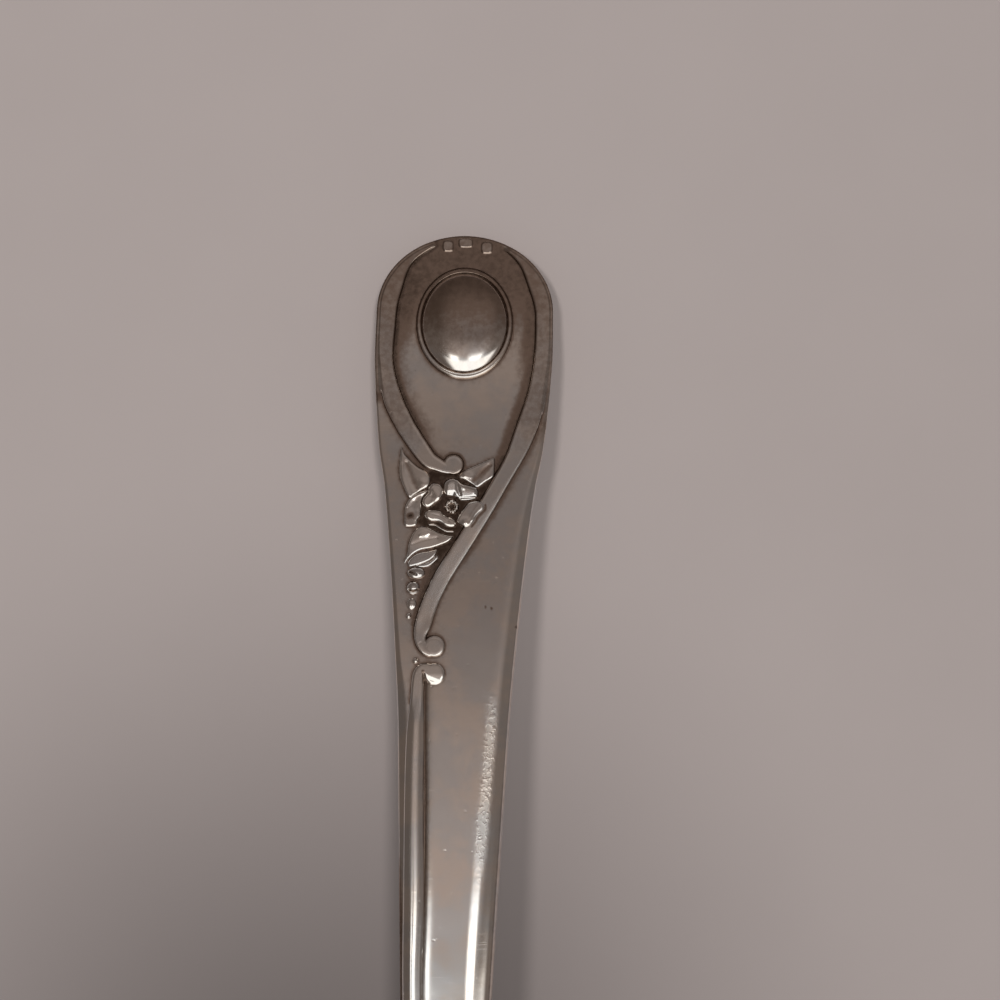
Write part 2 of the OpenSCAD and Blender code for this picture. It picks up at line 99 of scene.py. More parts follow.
def blend_of(tree, share, first, second):
    """A colour between two, by a share from 0 to 1."""
    mix = tree.nodes.new("ShaderNodeMix")
    mix.data_type = "RGBA"
    for socket, value in ((mix.inputs[0], share), (mix.inputs[6], first), (mix.inputs[7], second)):
        feed(tree, socket, value)
    return mix.outputs[2]


def math_of(tree, operation, first, second):
    """One step of arithmetic on two values."""
    made = tree.nodes.new("ShaderNodeMath")
    made.operation = operation
    feed(tree, made.inputs[0], first)
    feed(tree, made.inputs[1], second)
    return made.outputs[0]


def ramp_of(tree, value, low, high, to_low=0.0, to_high=1.0):
    """Stretches a value's range with soft ends."""
    made = add(tree, "MapRange", {"interpolation_type": "SMOOTHSTEP"}, Value=value)
    for name, number in (("From Min", low), ("From Max", high), ("To Min", to_low), ("To Max", to_high)):
        made.inputs[name].default_value = number
    return made.outputs[0]


# %% [markdown]
# ## Paper
# The spoon lies on a sheet of pale, slightly pink paper. A large grid is enough; a faint mottle keeps it
# from looking like a flat colour. A soft darker patch beside the arch is part of the paper's own colour.
# It stands for light that did not reach the paper there, which the lamps below do not show.

# %% Paper floor
PAPER = (0.400, 0.347, 0.332)
PAPER_DARK = (0.380, 0.329, 0.315)
PAPER_DIM = (0.152, 0.131, 0.125)
DIM_AT, DIM_REACH = (-0.012, -0.004, 0.0), 0.058
PAPER_HALF, PAPER_DROP = 0.9, 0.02 * MM
PAPER_ROUGHNESS, PAPER_SHEEN, MOTTLE_SCALE = 0.85, 0.2, 90.0

paper_look = bpy.data.materials.new("pale_paper")
paper_look.use_nodes = True
tree = paper_look.node_tree
surface = tree.nodes["Principled BSDF"]
place = add(tree, "TexCoord").outputs["Object"]
mottle = add(tree, "TexNoise", Vector=place, Scale=MOTTLE_SCALE, Detail=4.0).outputs[0]
plain = blend_of(tree, mottle, PAPER, PAPER_DARK)
away = add(tree, "VectorMath", {"operation": "DISTANCE"})
feed(tree, away.inputs[0], place)
away.inputs[1].default_value = DIM_AT
open_light = ramp_of(tree, away.outputs["Value"], 0.0, DIM_REACH)
feed(tree, surface.inputs["Base Color"], blend_of(tree, open_light, PAPER_DIM, plain))
surface.inputs["Roughness"].default_value = PAPER_ROUGHNESS
surface.inputs["Specular IOR Level"].default_value = PAPER_SHEEN

sheet = bmesh.new()
bmesh.ops.create_grid(sheet, x_segments=1, y_segments=1, size=PAPER_HALF)
bmesh.ops.translate(sheet, verts=sheet.verts, vec=(0, 0, -PAPER_DROP))
paper_mesh = bpy.data.meshes.new("paper")
sheet.to_mesh(paper_mesh)
sheet.free()
paper = bpy.data.objects.new("paper", paper_mesh)
paper_mesh.materials.append(paper_look)
scene.collection.objects.link(paper)
print("paper floor", 2 * PAPER_HALF, "m square")

# %% [markdown]
# ## Light
# Polished silver shows the room, so the light is mostly a matter of what stands round the spoon. The
# flats mirror a taupe ceiling that is dim towards the handle's tip and paler towards the bowl. Beyond its
# dim end the upper wall is a little paler, and towards the bowl a pale sky comes in. Two lamp strips
# overhead and a wide window low behind the bowl give the white bands and spots. The walls at the sides
# stay dark. The paper is lit by the room and by two small lamps, each with a shadow of its own.

# %% Room
FAR_CEILING, NEAR_CEILING = (0.180, 0.147, 0.132), (0.400, 0.338, 0.308)
PALE_SKY = (0.345, 0.332, 0.332)
HIGH_WALL = (0.270, 0.227, 0.206)
FAR_WALL, LEFT_WALL, RIGHT_WALL = (0.150, 0.122, 0.108), (0.122, 0.099, 0.086), (0.165, 0.138, 0.124)
WINDOW, LAMP_STRIP = (1.35, 1.33, 1.28), (2.2, 2.17, 2.1)
SKIRTING = (0.14, 0.12, 0.11)
# Each look takes over between two values of the mirrored direction, along the spoon or across it.
ALONG_LOOKS = ((0.10, 0.37, FAR_CEILING), (0.37, 0.44, HIGH_WALL), (0.55, 0.8, FAR_WALL),
               (0.045, 0.03, PALE_SKY))
SIDE_LOOKS = ((-0.06, -0.4, LEFT_WALL), (0.24, 0.55, RIGHT_WALL))
# A strip's middle, where it is full and gone across the spoon, and where it starts and is full along it.
STRIPS = ((0.185, 0.10, 0.13, 0.115, 0.05), (-0.18, 0.05, 0.09, 0.09, 0.04))
WINDOW_LEFT, WINDOW_RIGHT, WINDOW_TOP = (-0.45, -0.25), (0.85, 0.6), (-0.02, -0.07)
SKIRTING_TOP = (0.3, 0.05)
AMBIENT = (0.28, 0.28, 0.28)
HORIZON = (0.42, 0.37, 0.355)

room = bpy.data.worlds.new("room")
room.use_nodes = True
scene.world = room
tree = room.node_tree
tree.nodes.clear()
way = add(tree, "SeparateXYZ", Vector=add(tree, "TexCoord").outputs["Generated"])
sideways, along, up = (way.outputs[axis] for axis in "XYZ")
seen = NEAR_CEILING
for axis, looks in ((along, ALONG_LOOKS), (sideways, SIDE_LOOKS)):
    for start, end, colour in looks:
        seen = blend_of(tree, ramp_of(tree, axis, start, end), seen, colour)
for middle, full, clear, start, end in STRIPS:
    off = math_of(tree, "ABSOLUTE", math_of(tree, "SUBTRACT", sideways, middle), 0.0)
    lit = math_of(tree, "MULTIPLY", ramp_of(tree, off, clear, full), ramp_of(tree, along, start, end))
    seen = blend_of(tree, lit, seen, LAMP_STRIP)
open_side = math_of(tree, "MULTIPLY", ramp_of(tree, sideways, *WINDOW_LEFT),
                    ramp_of(tree, sideways, *WINDOW_RIGHT))
to_window = math_of(tree, "MULTIPLY", ramp_of(tree, along, *WINDOW_TOP), open_side)
seen = blend_of(tree, to_window, seen, WINDOW)
seen = blend_of(tree, ramp_of(tree, up, *SKIRTING_TOP), seen, SKIRTING)
path = add(tree, "LightPath")
mirrored = math_of(tree, "MAXIMUM", path.outputs["Is Glossy Ray"], path.outputs["Is Transmission Ray"])
shown = blend_of(tree, path.outputs["Is Camera Ray"], blend_of(tree, mirrored, AMBIENT, seen), HORIZON)
sky = add(tree, "Background", Color=shown, Strength=1.0)
feed(tree, add(tree, "OutputWorld").inputs["Surface"], sky.outputs[0])
print("room with", len(ALONG_LOOKS) + len(SIDE_LOOKS), "looks and", len(STRIPS), "strips")

# %% Lamps
LAMP_COLOUR, LAMP_RADIUS = (1.0, 0.99, 0.985), 24 * MM
LAMPS = {"right_lamp": ((34, 80, 330), 1.73), "left_lamp": ((-83, 80, 330), 1.57)}
for name, (lamp_at, watts) in LAMPS.items():
    lamp = bpy.data.lights.new(name, "POINT")
    lamp.energy, lamp.color, lamp.shadow_soft_size = watts, LAMP_COLOUR, LAMP_RADIUS
    bulb = bpy.data.objects.new(name, lamp)
    bulb.location = Vector(lamp_at) * MM
    bulb.visible_glossy = False
    scene.collection.objects.link(bulb)
print("lamps", list(LAMPS))

# %% [markdown]
# ## Worn silver plate
# Old plate is bright where cloth and fingers rub it and brown where they can't reach. Each piece carries
# an attribute of tarnish and painted shade, from 0 on the rubbed tops to 1 in the creases. The material
# mixes brown in by that attribute, broken up by noise, and adds fine scratches, small pits and a slow
# waviness. A second attribute, wear, roughens the places that were bruised.

# %% Silver finish
WARM, RELIEF_WARM, COOL = (0.83, 0.76, 0.70), (0.84, 0.785, 0.735), (0.715, 0.70, 0.69)
# These browns colour the tarnish, and also the painted shade where the attribute holds it.
FILM_BROWN, CRUST_BROWN = (0.38, 0.295, 0.245), (0.075, 0.050, 0.037)
CLOUD_SCALE, SPECK_SCALE, PIT_SCALE, BRUISE_SCALE = 260.0, 2200.0, 1500.0, 3200.0
RAGGED, CRUST_DULL, BRUISE_DULL = 0.07, 0.25, (0.26, 0.11)
SCRATCH_DEPTH, PIT_DEPTH, BRUISE_DEPTH = 0.003 * MM, 0.012 * MM, 0.012 * MM
SCRATCHES = ((0.3, (220.0, 7000.0, 220.0)), (-0.7, (260.0, 8000.0, 260.0)))


def silver_plate(name, clean, cool, smoothness, wave):
    """A worn plate between two tints of silver, with a least roughness and the depth of its waves in mm."""
    look = bpy.data.materials.new(name)
    look.use_nodes = True
    tree = look.node_tree
    metal = tree.nodes["Principled BSDF"]
    metal.inputs["Metallic"].default_value = 1.0
    place = add(tree, "TexCoord").outputs["Object"]
    tarnish_and_shade = add(tree, "Attribute", {"attribute_name": "tarnish_and_shade"}).outputs["Fac"]
    worn = add(tree, "Attribute", {"attribute_name": "wear"}).outputs["Fac"]

    cloud = add(tree, "TexNoise", Vector=place, Scale=CLOUD_SCALE, Detail=5.0, Roughness=0.6).outputs[0]
    speck = add(tree, "TexNoise", Vector=place, Scale=SPECK_SCALE, Detail=4.0, Roughness=0.6).outputs[0]
    ragged = math_of(tree, "ADD", tarnish_and_shade, ramp_of(tree, speck, 0.3, 0.7, -RAGGED, RAGGED))
    film, crust = ramp_of(tree, ragged, 0.02, 0.55), ramp_of(tree, ragged, 0.5, 1.0)
    plate = blend_of(tree, ramp_of(tree, cloud, 0.39, 0.61), clean, cool)
    brown = blend_of(tree, crust, FILM_BROWN, CRUST_BROWN)
    feed(tree, metal.inputs["Base Color"], blend_of(tree, film, plate, brown))

    dull = math_of(tree, "ADD", ramp_of(tree, cloud, 0.3, 0.7, smoothness, smoothness + 0.05),
                   math_of(tree, "MULTIPLY", crust, CRUST_DULL))
    bruise = add(tree, "TexNoise", Vector=place, Scale=BRUISE_SCALE, Detail=3.0, Roughness=0.6).outputs[0]
    bruised = math_of(tree, "MULTIPLY", worn, ramp_of(tree, bruise, 0.42, 0.6, *BRUISE_DULL))
    feed(tree, metal.inputs["Roughness"], math_of(tree, "ADD", dull, bruised))

    bump = None
    for scale, depth in ((230.0, wave), (800.0, 0.16 * wave)):
        slow = add(tree, "TexNoise", Vector=place, Scale=scale, Detail=2.0).outputs[0]
        bump = add(tree, "Bump", Strength=1.0, Distance=depth * MM, Height=slow,
                   **({"Normal": bump.outputs[0]} if bump else {}))
    for turn, stretch in SCRATCHES:
        lie = add(tree, "Mapping", Vector=place)
        lie.inputs["Rotation"].default_value = (0.0, 0.0, turn)
        lie.inputs["Scale"].default_value = stretch
        hair = add(tree, "TexNoise", Vector=lie.outputs[0], Scale=1.0, Detail=2.0).outputs[0]
        bump = add(tree, "Bump", Strength=0.2, Distance=SCRATCH_DEPTH,
                   Height=ramp_of(tree, hair, 0.66, 0.76), Normal=bump.outputs[0])
    pit = add(tree, "TexNoise", Vector=place, Scale=PIT_SCALE, Detail=2.0).outputs[0]
    bump = add(tree, "Bump", {"invert": True}, Strength=0.5, Distance=PIT_DEPTH,
               Height=ramp_of(tree, pit, 0.70, 0.78), Normal=bump.outputs[0])
    bump = add(tree, "Bump", Strength=worn, Distance=BRUISE_DEPTH,
               Height=ramp_of(tree, bruise, 0.46, 0.68), Normal=bump.outputs[0])
    feed(tree, metal.inputs["Normal"], bump.outputs[0])
    return look


handle_look = silver_plate("worn_plate", WARM, COOL, 0.10, 0.014)
relief_look = silver_plate("rubbed_relief", RELIEF_WARM, COOL, 0.12, 0.004)
bowl_look = silver_plate("bowl_plate", RELIEF_WARM, COOL, 0.12, 0.012)
print("finishes", [m.name for m in (handle_look, relief_look, bowl_look)])

# %% [markdown]
# ## The curves that the whole spoon follows
# The plan, the arch and the thickness of the handle are each a smooth curve of the distance from the
# tip. The same few rows drive the CAD solids, so what is made here lies on them.


# %% Curves
def read(rows, x):
    """A smooth curve through rows of (place, value), straight past its ends."""
    place, value = np.array(rows, float).T
    ends = np.diff(value) / np.diff(place)
    inner = (value[2:] - value[:-2]) / (place[2:] - place[:-2])
    slope = np.concatenate([ends[:1], inner, ends[-1:]])
    x = np.asarray(x, float)
    i = np.clip(np.searchsorted(place, x, side="right") - 1, 0, len(place) - 2)
    span = place[i + 1] - place[i]
    t = (np.clip(x, place[0], place[-1]) - place[i]) / span
    curve = (value[i] * (1 + 2 * t) * (1 - t) ** 2 + slope[i] * span * t * (1 - t) ** 2
             + value[i + 1] * t * t * (3 - 2 * t) - slope[i + 1] * span * t * t * (1 - t))
    past = slope[0] * np.minimum(x - place[0], 0) + slope[-1] * np.maximum(x - place[-1], 0)
    return curve + past


def through(rows, steps):
    """Points on a smooth curve through rows of any width."""
    rows = np.array(rows, float)
    held = np.vstack([rows[:1], rows, rows[-1:]])
    t = np.arange(steps)[:, None] / steps
    parts = []
    for a, b, c, d in zip(held, held[1:], held[2:], held[3:]):
        parts.append(0.5 * (2 * b + (c - a) * t + (2 * a - 5 * b + 4 * c - d) * t ** 2
                            + (3 * b - 3 * c + d - a) * t ** 3))
    return np.vstack(parts + [rows[-1:]])


def ease(x):
    """A step from 0 to 1 with soft ends."""
    x = np.clip(x, 0, 1)
    return x * x * (3 - 2 * x)


def rises(x, start, run):
    """A soft step from 0 at a start to 1 after a run."""
    return ease((x - start) / run)


def fades(x, start, run):
    """A soft step from 1 at a start to 0 after a run."""
    return 1 - rises(x, start, run)


def ridge(x, half):
    """A soft line: 1 at 0, with sides that fall off over a half width."""
    return np.exp(-(x / half) ** 2)


# %% [markdown]
# ### Plan, arch and shoulders
# The sizes are those of the CAD solids, in mm from the tip, apart from the left shoulder, which is a
# little narrower. Shares keep the taper and the arch in proportion. The shoulders are narrow at the broad
# end and widen down the handle, more on the right.

# %% Plan and arch
HANDLE_LENGTH, NECK_AT, DROP_END = 99.0, 91.0, 106.0
TIP_ROUND, TIP_HALF, BROAD_LENGTH = 6.2, 7.0, 10.5
NECK_HALF, HEEL_HALF, DROP_BLUNT = 2.4, 2.9, 0.96
UNDER_ROUND, EDGE_BREAK, SHOULDER_FALL = 0.7, 0.15, 0.45
TAPER = [(0.08, 0.885), (0.12, 0.765), (0.19, 0.63), (0.27, 0.505), (0.345, 0.415),
         (0.465, 0.325), (0.59, 0.235), (0.8, 0.08)]
WIDTH_ROWS = ([(TIP_ROUND, TIP_HALF), (BROAD_LENGTH, TIP_HALF)]
              + [(BROAD_LENGTH + a * (NECK_AT - BROAD_LENGTH), NECK_HALF + b * (TIP_HALF - NECK_HALF))
                 for a, b in TAPER] + [(NECK_AT, NECK_HALF), (HANDLE_LENGTH, HEEL_HALF)])
TIP_THICK, ARCH, HEEL_FACE, DROP_FACE = 1.6, 12.8, 8.7, 6.9
ARCH_SHARES = [(0.2, 0.325), (0.4, 0.65), (0.59, 0.895), (0.75, 1), (0.88, 0.885)]
FACE_ROWS = ([(UNDER_ROUND, TIP_THICK)]
             + [(a * HANDLE_LENGTH, TIP_THICK + b * (ARCH - TIP_THICK)) for a, b in ARCH_SHARES]
             + [(HANDLE_LENGTH, HEEL_FACE), (DROP_END, DROP_FACE)])
RIGHT_SHOULDER, LEFT_SHOULDER = 2.15, 1.1
ROUND_FROM = 12
RIGHT_ROWS = [(ROUND_FROM, EDGE_BREAK)] + [(v, share * RIGHT_SHOULDER) for v, share in (
    (18, 0.28), (24, 0.6), (32, 0.72), (41, 0.82), (50, 1), (58, 1), (NECK_AT, 0.5))]
LEFT_ROWS = [(ROUND_FROM, EDGE_BREAK)] + [(v, share * LEFT_SHOULDER) for v, share in (
    (24, 0.3), (33, 0.48), (36, 0.8), (38.5, 0.92), (44, 0.76), (58, 0.8), (NECK_AT, 0.45))]


def half_width(v):
    """Half the handle's width at a distance from the tip."""
    v = np.asarray(v, float)
    tip = TIP_HALF * np.sqrt(np.clip(1 - (1 - v / TIP_ROUND) ** 2, 0, 1))
    drop = np.clip((v - HANDLE_LENGTH) / (DROP_END - HANDLE_LENGTH), 0, 1)
    heel = HEEL_HALF * np.sqrt(1 - (DROP_BLUNT * drop) ** 2)
    return np.where(v < TIP_ROUND, tip, np.where(v < HANDLE_LENGTH, read(WIDTH_ROWS, v), heel))


def face_z(v):
    """Height of the handle's face."""
    return read(FACE_ROWS, v)


def shoulder(rows, v):
    """Width of the rounded shoulder on one side."""
    rounded = np.maximum(EDGE_BREAK, read(rows, np.minimum(v, NECK_AT)))
    return np.where(np.asarray(v) < rows[0][0], EDGE_BREAK, rounded)


print("face height at the tip, flower and arch", face_z(np.array([1.0, 21.7, 74.0])).round(2), "mm")

# %% [markdown]
# ## Keeping a piece
# A finished bmesh becomes a smooth-shaded object at the origin that rides on the spoon and stands for
# its CAD node. Its attribute of tarnish and painted shade is written at the same time, one value for each
# vertex.


# %% Keep a piece
def keep(bm, name, look, slot, tarnish_and_shade, *nodes):
    for face in bm.faces:
        face.smooth = True
    mesh = bpy.data.meshes.new(name)
    bm.to_mesh(mesh)
    bm.free()
    mesh.materials.append(look)
    where = np.zeros(3 * len(mesh.vertices))
    mesh.vertices.foreach_get("co", where)
    x, y, z = where.reshape(-1, 3).T / MM
    values = mesh.attributes.new("tarnish_and_shade", "FLOAT", "POINT")
    values.data.foreach_set("value", np.clip(tarnish_and_shade(x, TIP_Y - y, z), 0, 1).astype(np.float32))
    piece = bpy.data.objects.new(name, mesh)
    scene.collection.objects.link(piece)
    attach(piece, "root")
    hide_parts(*nodes)
    print(name, len(mesh.polygons), "faces")
    return piece


# %% [markdown]
# ## Drawing the ornament as heights
# A die-sinker cuts the ornament into steel as hollows of different depth, and the silver takes the same
# shape as heights. Here a fine lattice covers the broad end, and each motif is a rule that gives a height
# above the face at every lattice point. A rule is negative outside its motif, so that the foot of each
# piece runs down into the face and nothing hangs in the air.

# %% Lattice
PITCH = 0.05
LATTICE_HALF, LATTICE_LENGTH = 7.2, 37.0
TOE, TOE_DIP, TOE_SLOPE = 0.05, 0.02, 0.7
OUTSIDE = -9.0
U, V = np.meshgrid(np.arange(-LATTICE_HALF, LATTICE_HALF + PITCH / 2, PITCH),
                   np.arange(0.0, LATTICE_LENGTH + PITCH / 2, PITCH))
struck = {}
print("lattice", U.shape)


def inside(path, u, v):
    """How far each point is inside a band along a path of (across, along, half width), and its row."""
    depth = np.full(u.shape, OUTSIDE)
    row = np.zeros(u.shape, int)
    for i, p in enumerate(path):
        d = p[2] - np.hypot(u - p[0], v - p[1])
        nearer = d > depth
        depth[nearer], row[nearer] = d[nearer], i
    return depth, row


def raised(depth, run, height):
    """A side that rises softly over a run, with a foot that dips below the face."""
    return height * ease((depth + TOE) / (run + TOE)) - TOE_DIP + TOE_SLOPE * np.minimum(depth + TOE, 0)


def stroke(points):
    """A soft line through points of (across, along, half width): 1 on it, 0 a little way off."""
    path = through(points, 12)
    depth, row = inside(path, U, V)
    return np.exp(-(1 - depth / path[row, 2]) ** 2)


# %% [markdown]
# ## Scroll borders
# Two flat bands frame the broad end and curl into round bulbs. Each band is a path with a width and a
# height at every point, and its bulb is one disc at the end. The two are joined before they are raised,
# so that the top runs on into the bulb and only a nick on the inner side is left, as on the real curl.
# Along the edge of the spoon a band runs right out to the rim, so heights there are read a little inside.
# Where the right band crosses the handle its top leans a little to the right.

# %% Scroll paths
SCROLL_WIDTH, SCROLL_HEIGHT = 1.58, 0.28
BALL_HALF = 0.82
LEFT_SCROLL = [
    (-0.8, 0.85, 0.15, 0.5), (-1, 1.85, 0.55, 0.8), (-1, 4.25, 0.95, 1), (-1, 7.1, 0.9, 1),
    (-1, 10.6, 0.86, 1), (-0.93, 13.4, 1, 1), (-0.76, 15.6, 0.98, 1)]
RIGHT_SCROLL = [
    (0.9, 0.9, 0.2, 0.5), (1, 1.65, 0.5, 0.8), (1, 3.85, 0.88, 1), (1, 6.6, 0.8, 1),
    (1, 8.9, 0.82, 1), (1, 12.35, 1, 1), (0.904, 15.4, 1.08, 1), (0.705, 18.5, 0.86, 1),
    (0.438, 21.5, 0.86, 1), (0.087, 24.5, 0.86, 1), (-0.281, 27.2, 0.86, 1)]
LEFT_HOOK = [(-3.27, 17.11, 0.74, 1), (-2.52, 18.03, 0.68, 1), (-1.91, 18.37, 0.58, 1),
             (-1.37, 18.61, 0.5, 1), (-0.93, 18.72, 0.46, 1)]
RIGHT_HOOK = [(-1.88, 28.65, 0.66, 1), (-2.33, 29.92, 0.66, 1), (-2.57, 30.85, 0.65, 1),
              (-2.73, 31.4, 0.56, 1), (-2.76, 31.9, 0.48, 1), (-2.64, 32.35, 0.425, 1),
              (-2.36, 32.74, 0.4, 1), (-2.0, 32.92, 0.38, 1)]
LEFT_BALL, RIGHT_BALL, REED_BALL = (-0.56, 18.4), (-1.64, 32.46), (-1.58, 34.58)


def across(share, v, width):
    """Place of a path's middle at a share of the way to the edge."""
    return share * (half_width(v) - EDGE_BREAK - width / 2)


def band_path(rows, width, height, hook=(), steps=30):
    """A path of (across, along, half width, height) that keeps to the edge and ends in a hook."""
    share, v, w, h = through(rows, steps).T
    path = np.stack([across(share, v, w * width), v, w * width / 2, h * height], axis=1)
    if len(hook):
        start = (*path[-1, :3], rows[-1][3])
        path = np.vstack([path, through([start, *hook], steps) * (1, 1, 1, height)])
    return path


left_path = band_path(LEFT_SCROLL, SCROLL_WIDTH, SCROLL_HEIGHT, LEFT_HOOK)
right_path = band_path(RIGHT_SCROLL, SCROLL_WIDTH, SCROLL_HEIGHT, RIGHT_HOOK)
print("path points", len(left_path), len(right_path))

# %% Band rule
RIM_KEEP, RIM_EASE, RIM_LIP = 0.45, 0.25, 0.03
LEAVES_RIM_AT, LEAVES_RIM_RUN = 8, 6
BAND_WALL, BAND_SHOULDER, WALL_SHARE, SHOULDER_SHARE = 0.12, 0.35, 0.92, 0.08


def disc(middle, half):
    """A path of one point, for a bulb."""
    return np.array([[*middle, half]])


def from_edge(u, v):
    """Distance inside the handle's plan, and the way inwards."""
    short = np.maximum(TIP_ROUND - v, 0)
    away = np.maximum(np.hypot(u, short), 1e-6)
    oval = np.maximum(np.hypot(u / TIP_HALF, short / TIP_ROUND), 1e-6)
    gap = np.where(short > 0, away / oval - away, half_width(v) - np.abs(u))
    return gap, np.where(short > 0, -u / away, -np.sign(u)), short / away


def strap(depth, height):
    """A steep wall with a slight shoulder above it."""
    return (raised(depth, BAND_WALL, WALL_SHARE * height)
            + SHOULDER_SHARE * height * ease(depth / BAND_SHOULDER))


def band(path, ball, u, v):
    """Height of a band with its bulb, and how far a point lies inside it."""
    gap, in_u, in_v = from_edge(u, v)
    pull = np.clip(RIM_KEEP - gap, 0, 1)
    depth, row = inside(path, u + pull * in_u, v + pull * in_v)
    depth = np.maximum(depth, inside(disc(ball, BALL_HALF), u, v)[0])
    return strap(depth, path[row, 3]), depth


def rim_rise(u, v):
    """How much the handle's own edge is lifted where a band runs out to it."""
    gap, _, _ = from_edge(u, v)
    bands = np.maximum(band(left_path, LEFT_BALL, u, v)[0], band(right_path, RIGHT_BALL, u, v)[0])
    lift = np.maximum(bands - RIM_LIP, 0)
    return lift * fades(gap, RIM_EASE, RIM_EASE) * fades(v, LEAVES_RIM_AT, LEAVES_RIM_RUN)


# %% Band heights
BAND_LEAN, LEAN_HALF = 0.08, 0.8
OUTER_GAP = 0.04
edge_gap, _, _ = from_edge(U, V)
slope_out = rises(V, LEAVES_RIM_AT, LEAVES_RIM_RUN)
to_rim = (0.08 + 0.22 * slope_out) * fades(edge_gap, 0.12, 0.2 + 0.3 * slope_out)
left_height, left_depth = band(left_path, LEFT_BALL, U, V)
right_height, right_depth = band(right_path, RIGHT_BALL, U, V)
right_line = np.interp(V, right_path[:, 1], right_path[:, 0])
lean = BAND_LEAN * rises(V, 19, 5) * fades(V, 30, 1.5) * np.clip(U - right_line, -LEAN_HALF, LEAN_HALF)
right_height = right_height - lean * ease(right_depth / BAND_WALL)
for name, height in (("left_scroll", left_height), ("right_scroll", right_height)):
    struck[name] = np.where(edge_gap > OUTER_GAP, height - to_rim, -1)
print("scroll heights", [round(float(struck[n].max()), 2) for n in struck], "mm")

# %% [markdown]
# ## Tongues at the crest
# Three short, blunt tongues hang from the edge between the two borders. Each is a flat cushion on a
# rounded oblong.

# %% Tongue rule
TONGUE_WIDTH, TONGUE_HEIGHT, TONGUE_RUN, TONGUE_POWER = 1.2, 0.1, 0.12, 3.3
TONGUES = [(-1.5, 0.76, 0.95), (-0.1, 1.0, 0.8), (1.6, 0.8, 1.0)]
tongue_heights = []
for middle, width, length in TONGUES:
    half = width * TONGUE_WIDTH / 2
    edge = TIP_ROUND * (1 - math.sqrt(1 - ((abs(middle) + half) / TIP_HALF) ** 2))
    at = edge + EDGE_BREAK + length / 2
    share = (np.abs((U - middle) / half) ** TONGUE_POWER
             + np.abs((V - at) / (length / 2)) ** TONGUE_POWER) ** (1 / TONGUE_POWER)
    tongue_heights.append(raised((1 - share) * half, TONGUE_RUN, TONGUE_HEIGHT))
struck["crest_beads"] = np.max(tongue_heights, axis=0)
print("tongues", len(TONGUES))

# %% [markdown]
# ## Leaves
# A leaf is drawn as a closed outline and raised from it like a cushion. The engraver then cut folds and
# left rims and nodes standing. A stroke stands for one such cut: a soft line through a few points, each
# with the half width of the tool, that is taken off or put on. The outlines' points were picked on the
# picture and then worked out in millimetres on the arched face.

# %% Leaf outlines
LEAVES = {
    "upper_left_leaf": [
        (-4.67, 17.13), (-4.38, 17.67), (-3.89, 18.17), (-3.33, 18.63), (-2.77, 18.93), (-2.45, 19.31),
        (-2.35, 19.78), (-2.54, 20.21), (-3.03, 20.5), (-3.49, 20.82), (-3.95, 21.11), (-4.41, 20.34),
        (-4.75, 19.48), (-4.81, 18.7), (-4.76, 17.84)],
    "upper_right_leaf": [
        (-0.14, 19.37), (0.2, 18.89), (0.9, 18.56), (1.59, 18.23), (2.29, 17.9), (2.64, 17.85),
        (2.66, 18.6), (2.6, 19.27), (2.02, 19.71), (1.37, 20.16), (0.85, 19.9), (0.3, 19.6)],
    "curled_leaf": [
        (-2.45, 20.45), (-3.03, 20.58), (-3.57, 20.82), (-4.02, 21.27), (-4.24, 21.74), (-4.3, 22.29),
        (-4.28, 22.83), (-4.23, 23.26), (-3.8, 23.35), (-3.34, 23.23), (-3.23, 22.8), (-3.05, 22.49),
        (-2.99, 21.94), (-2.97, 21.4), (-2.86, 21.0)],
    "large_lower_leaf": [
        (-4.17, 26.16), (-3.97, 25.38), (-3.91, 24.76), (-3.73, 24.17), (-3.44, 23.62), (-3.02, 23.3),
        (-2.48, 23.33), (-2.0, 23.55), (-1.45, 23.77), (-0.82, 23.95), (-0.43, 23.98), (-0.73, 24.41),
        (-1.35, 24.7), (-2.04, 24.95), (-2.85, 25.12), (-3.38, 25.4), (-3.76, 25.76)],
    "small_lower_leaf": [
        (-1.65, 25.05), (-2.34, 25.22), (-3.03, 25.36), (-3.57, 25.68), (-3.9, 26.15), (-3.74, 26.45),
        (-3.16, 26.32), (-2.62, 26.12), (-2.13, 25.87), (-1.75, 25.48)]}
LOWER_BLADE = [(-1.51, 25.67), (-1.81, 26.02), (-2.27, 26.38), (-2.92, 26.47), (-3.24, 26.33),
               (-2.62, 26.16), (-2.09, 25.94), (-1.71, 25.54)]
THIN_LINE = [(-2.33, 23.13, 0.06), (-1.86, 23.16, 0.07), (-1.46, 23.38, 0.08), (-0.99, 23.6, 0.08),
             (-0.44, 23.63, 0.06)]
print("leaf outlines", len(LEAVES))

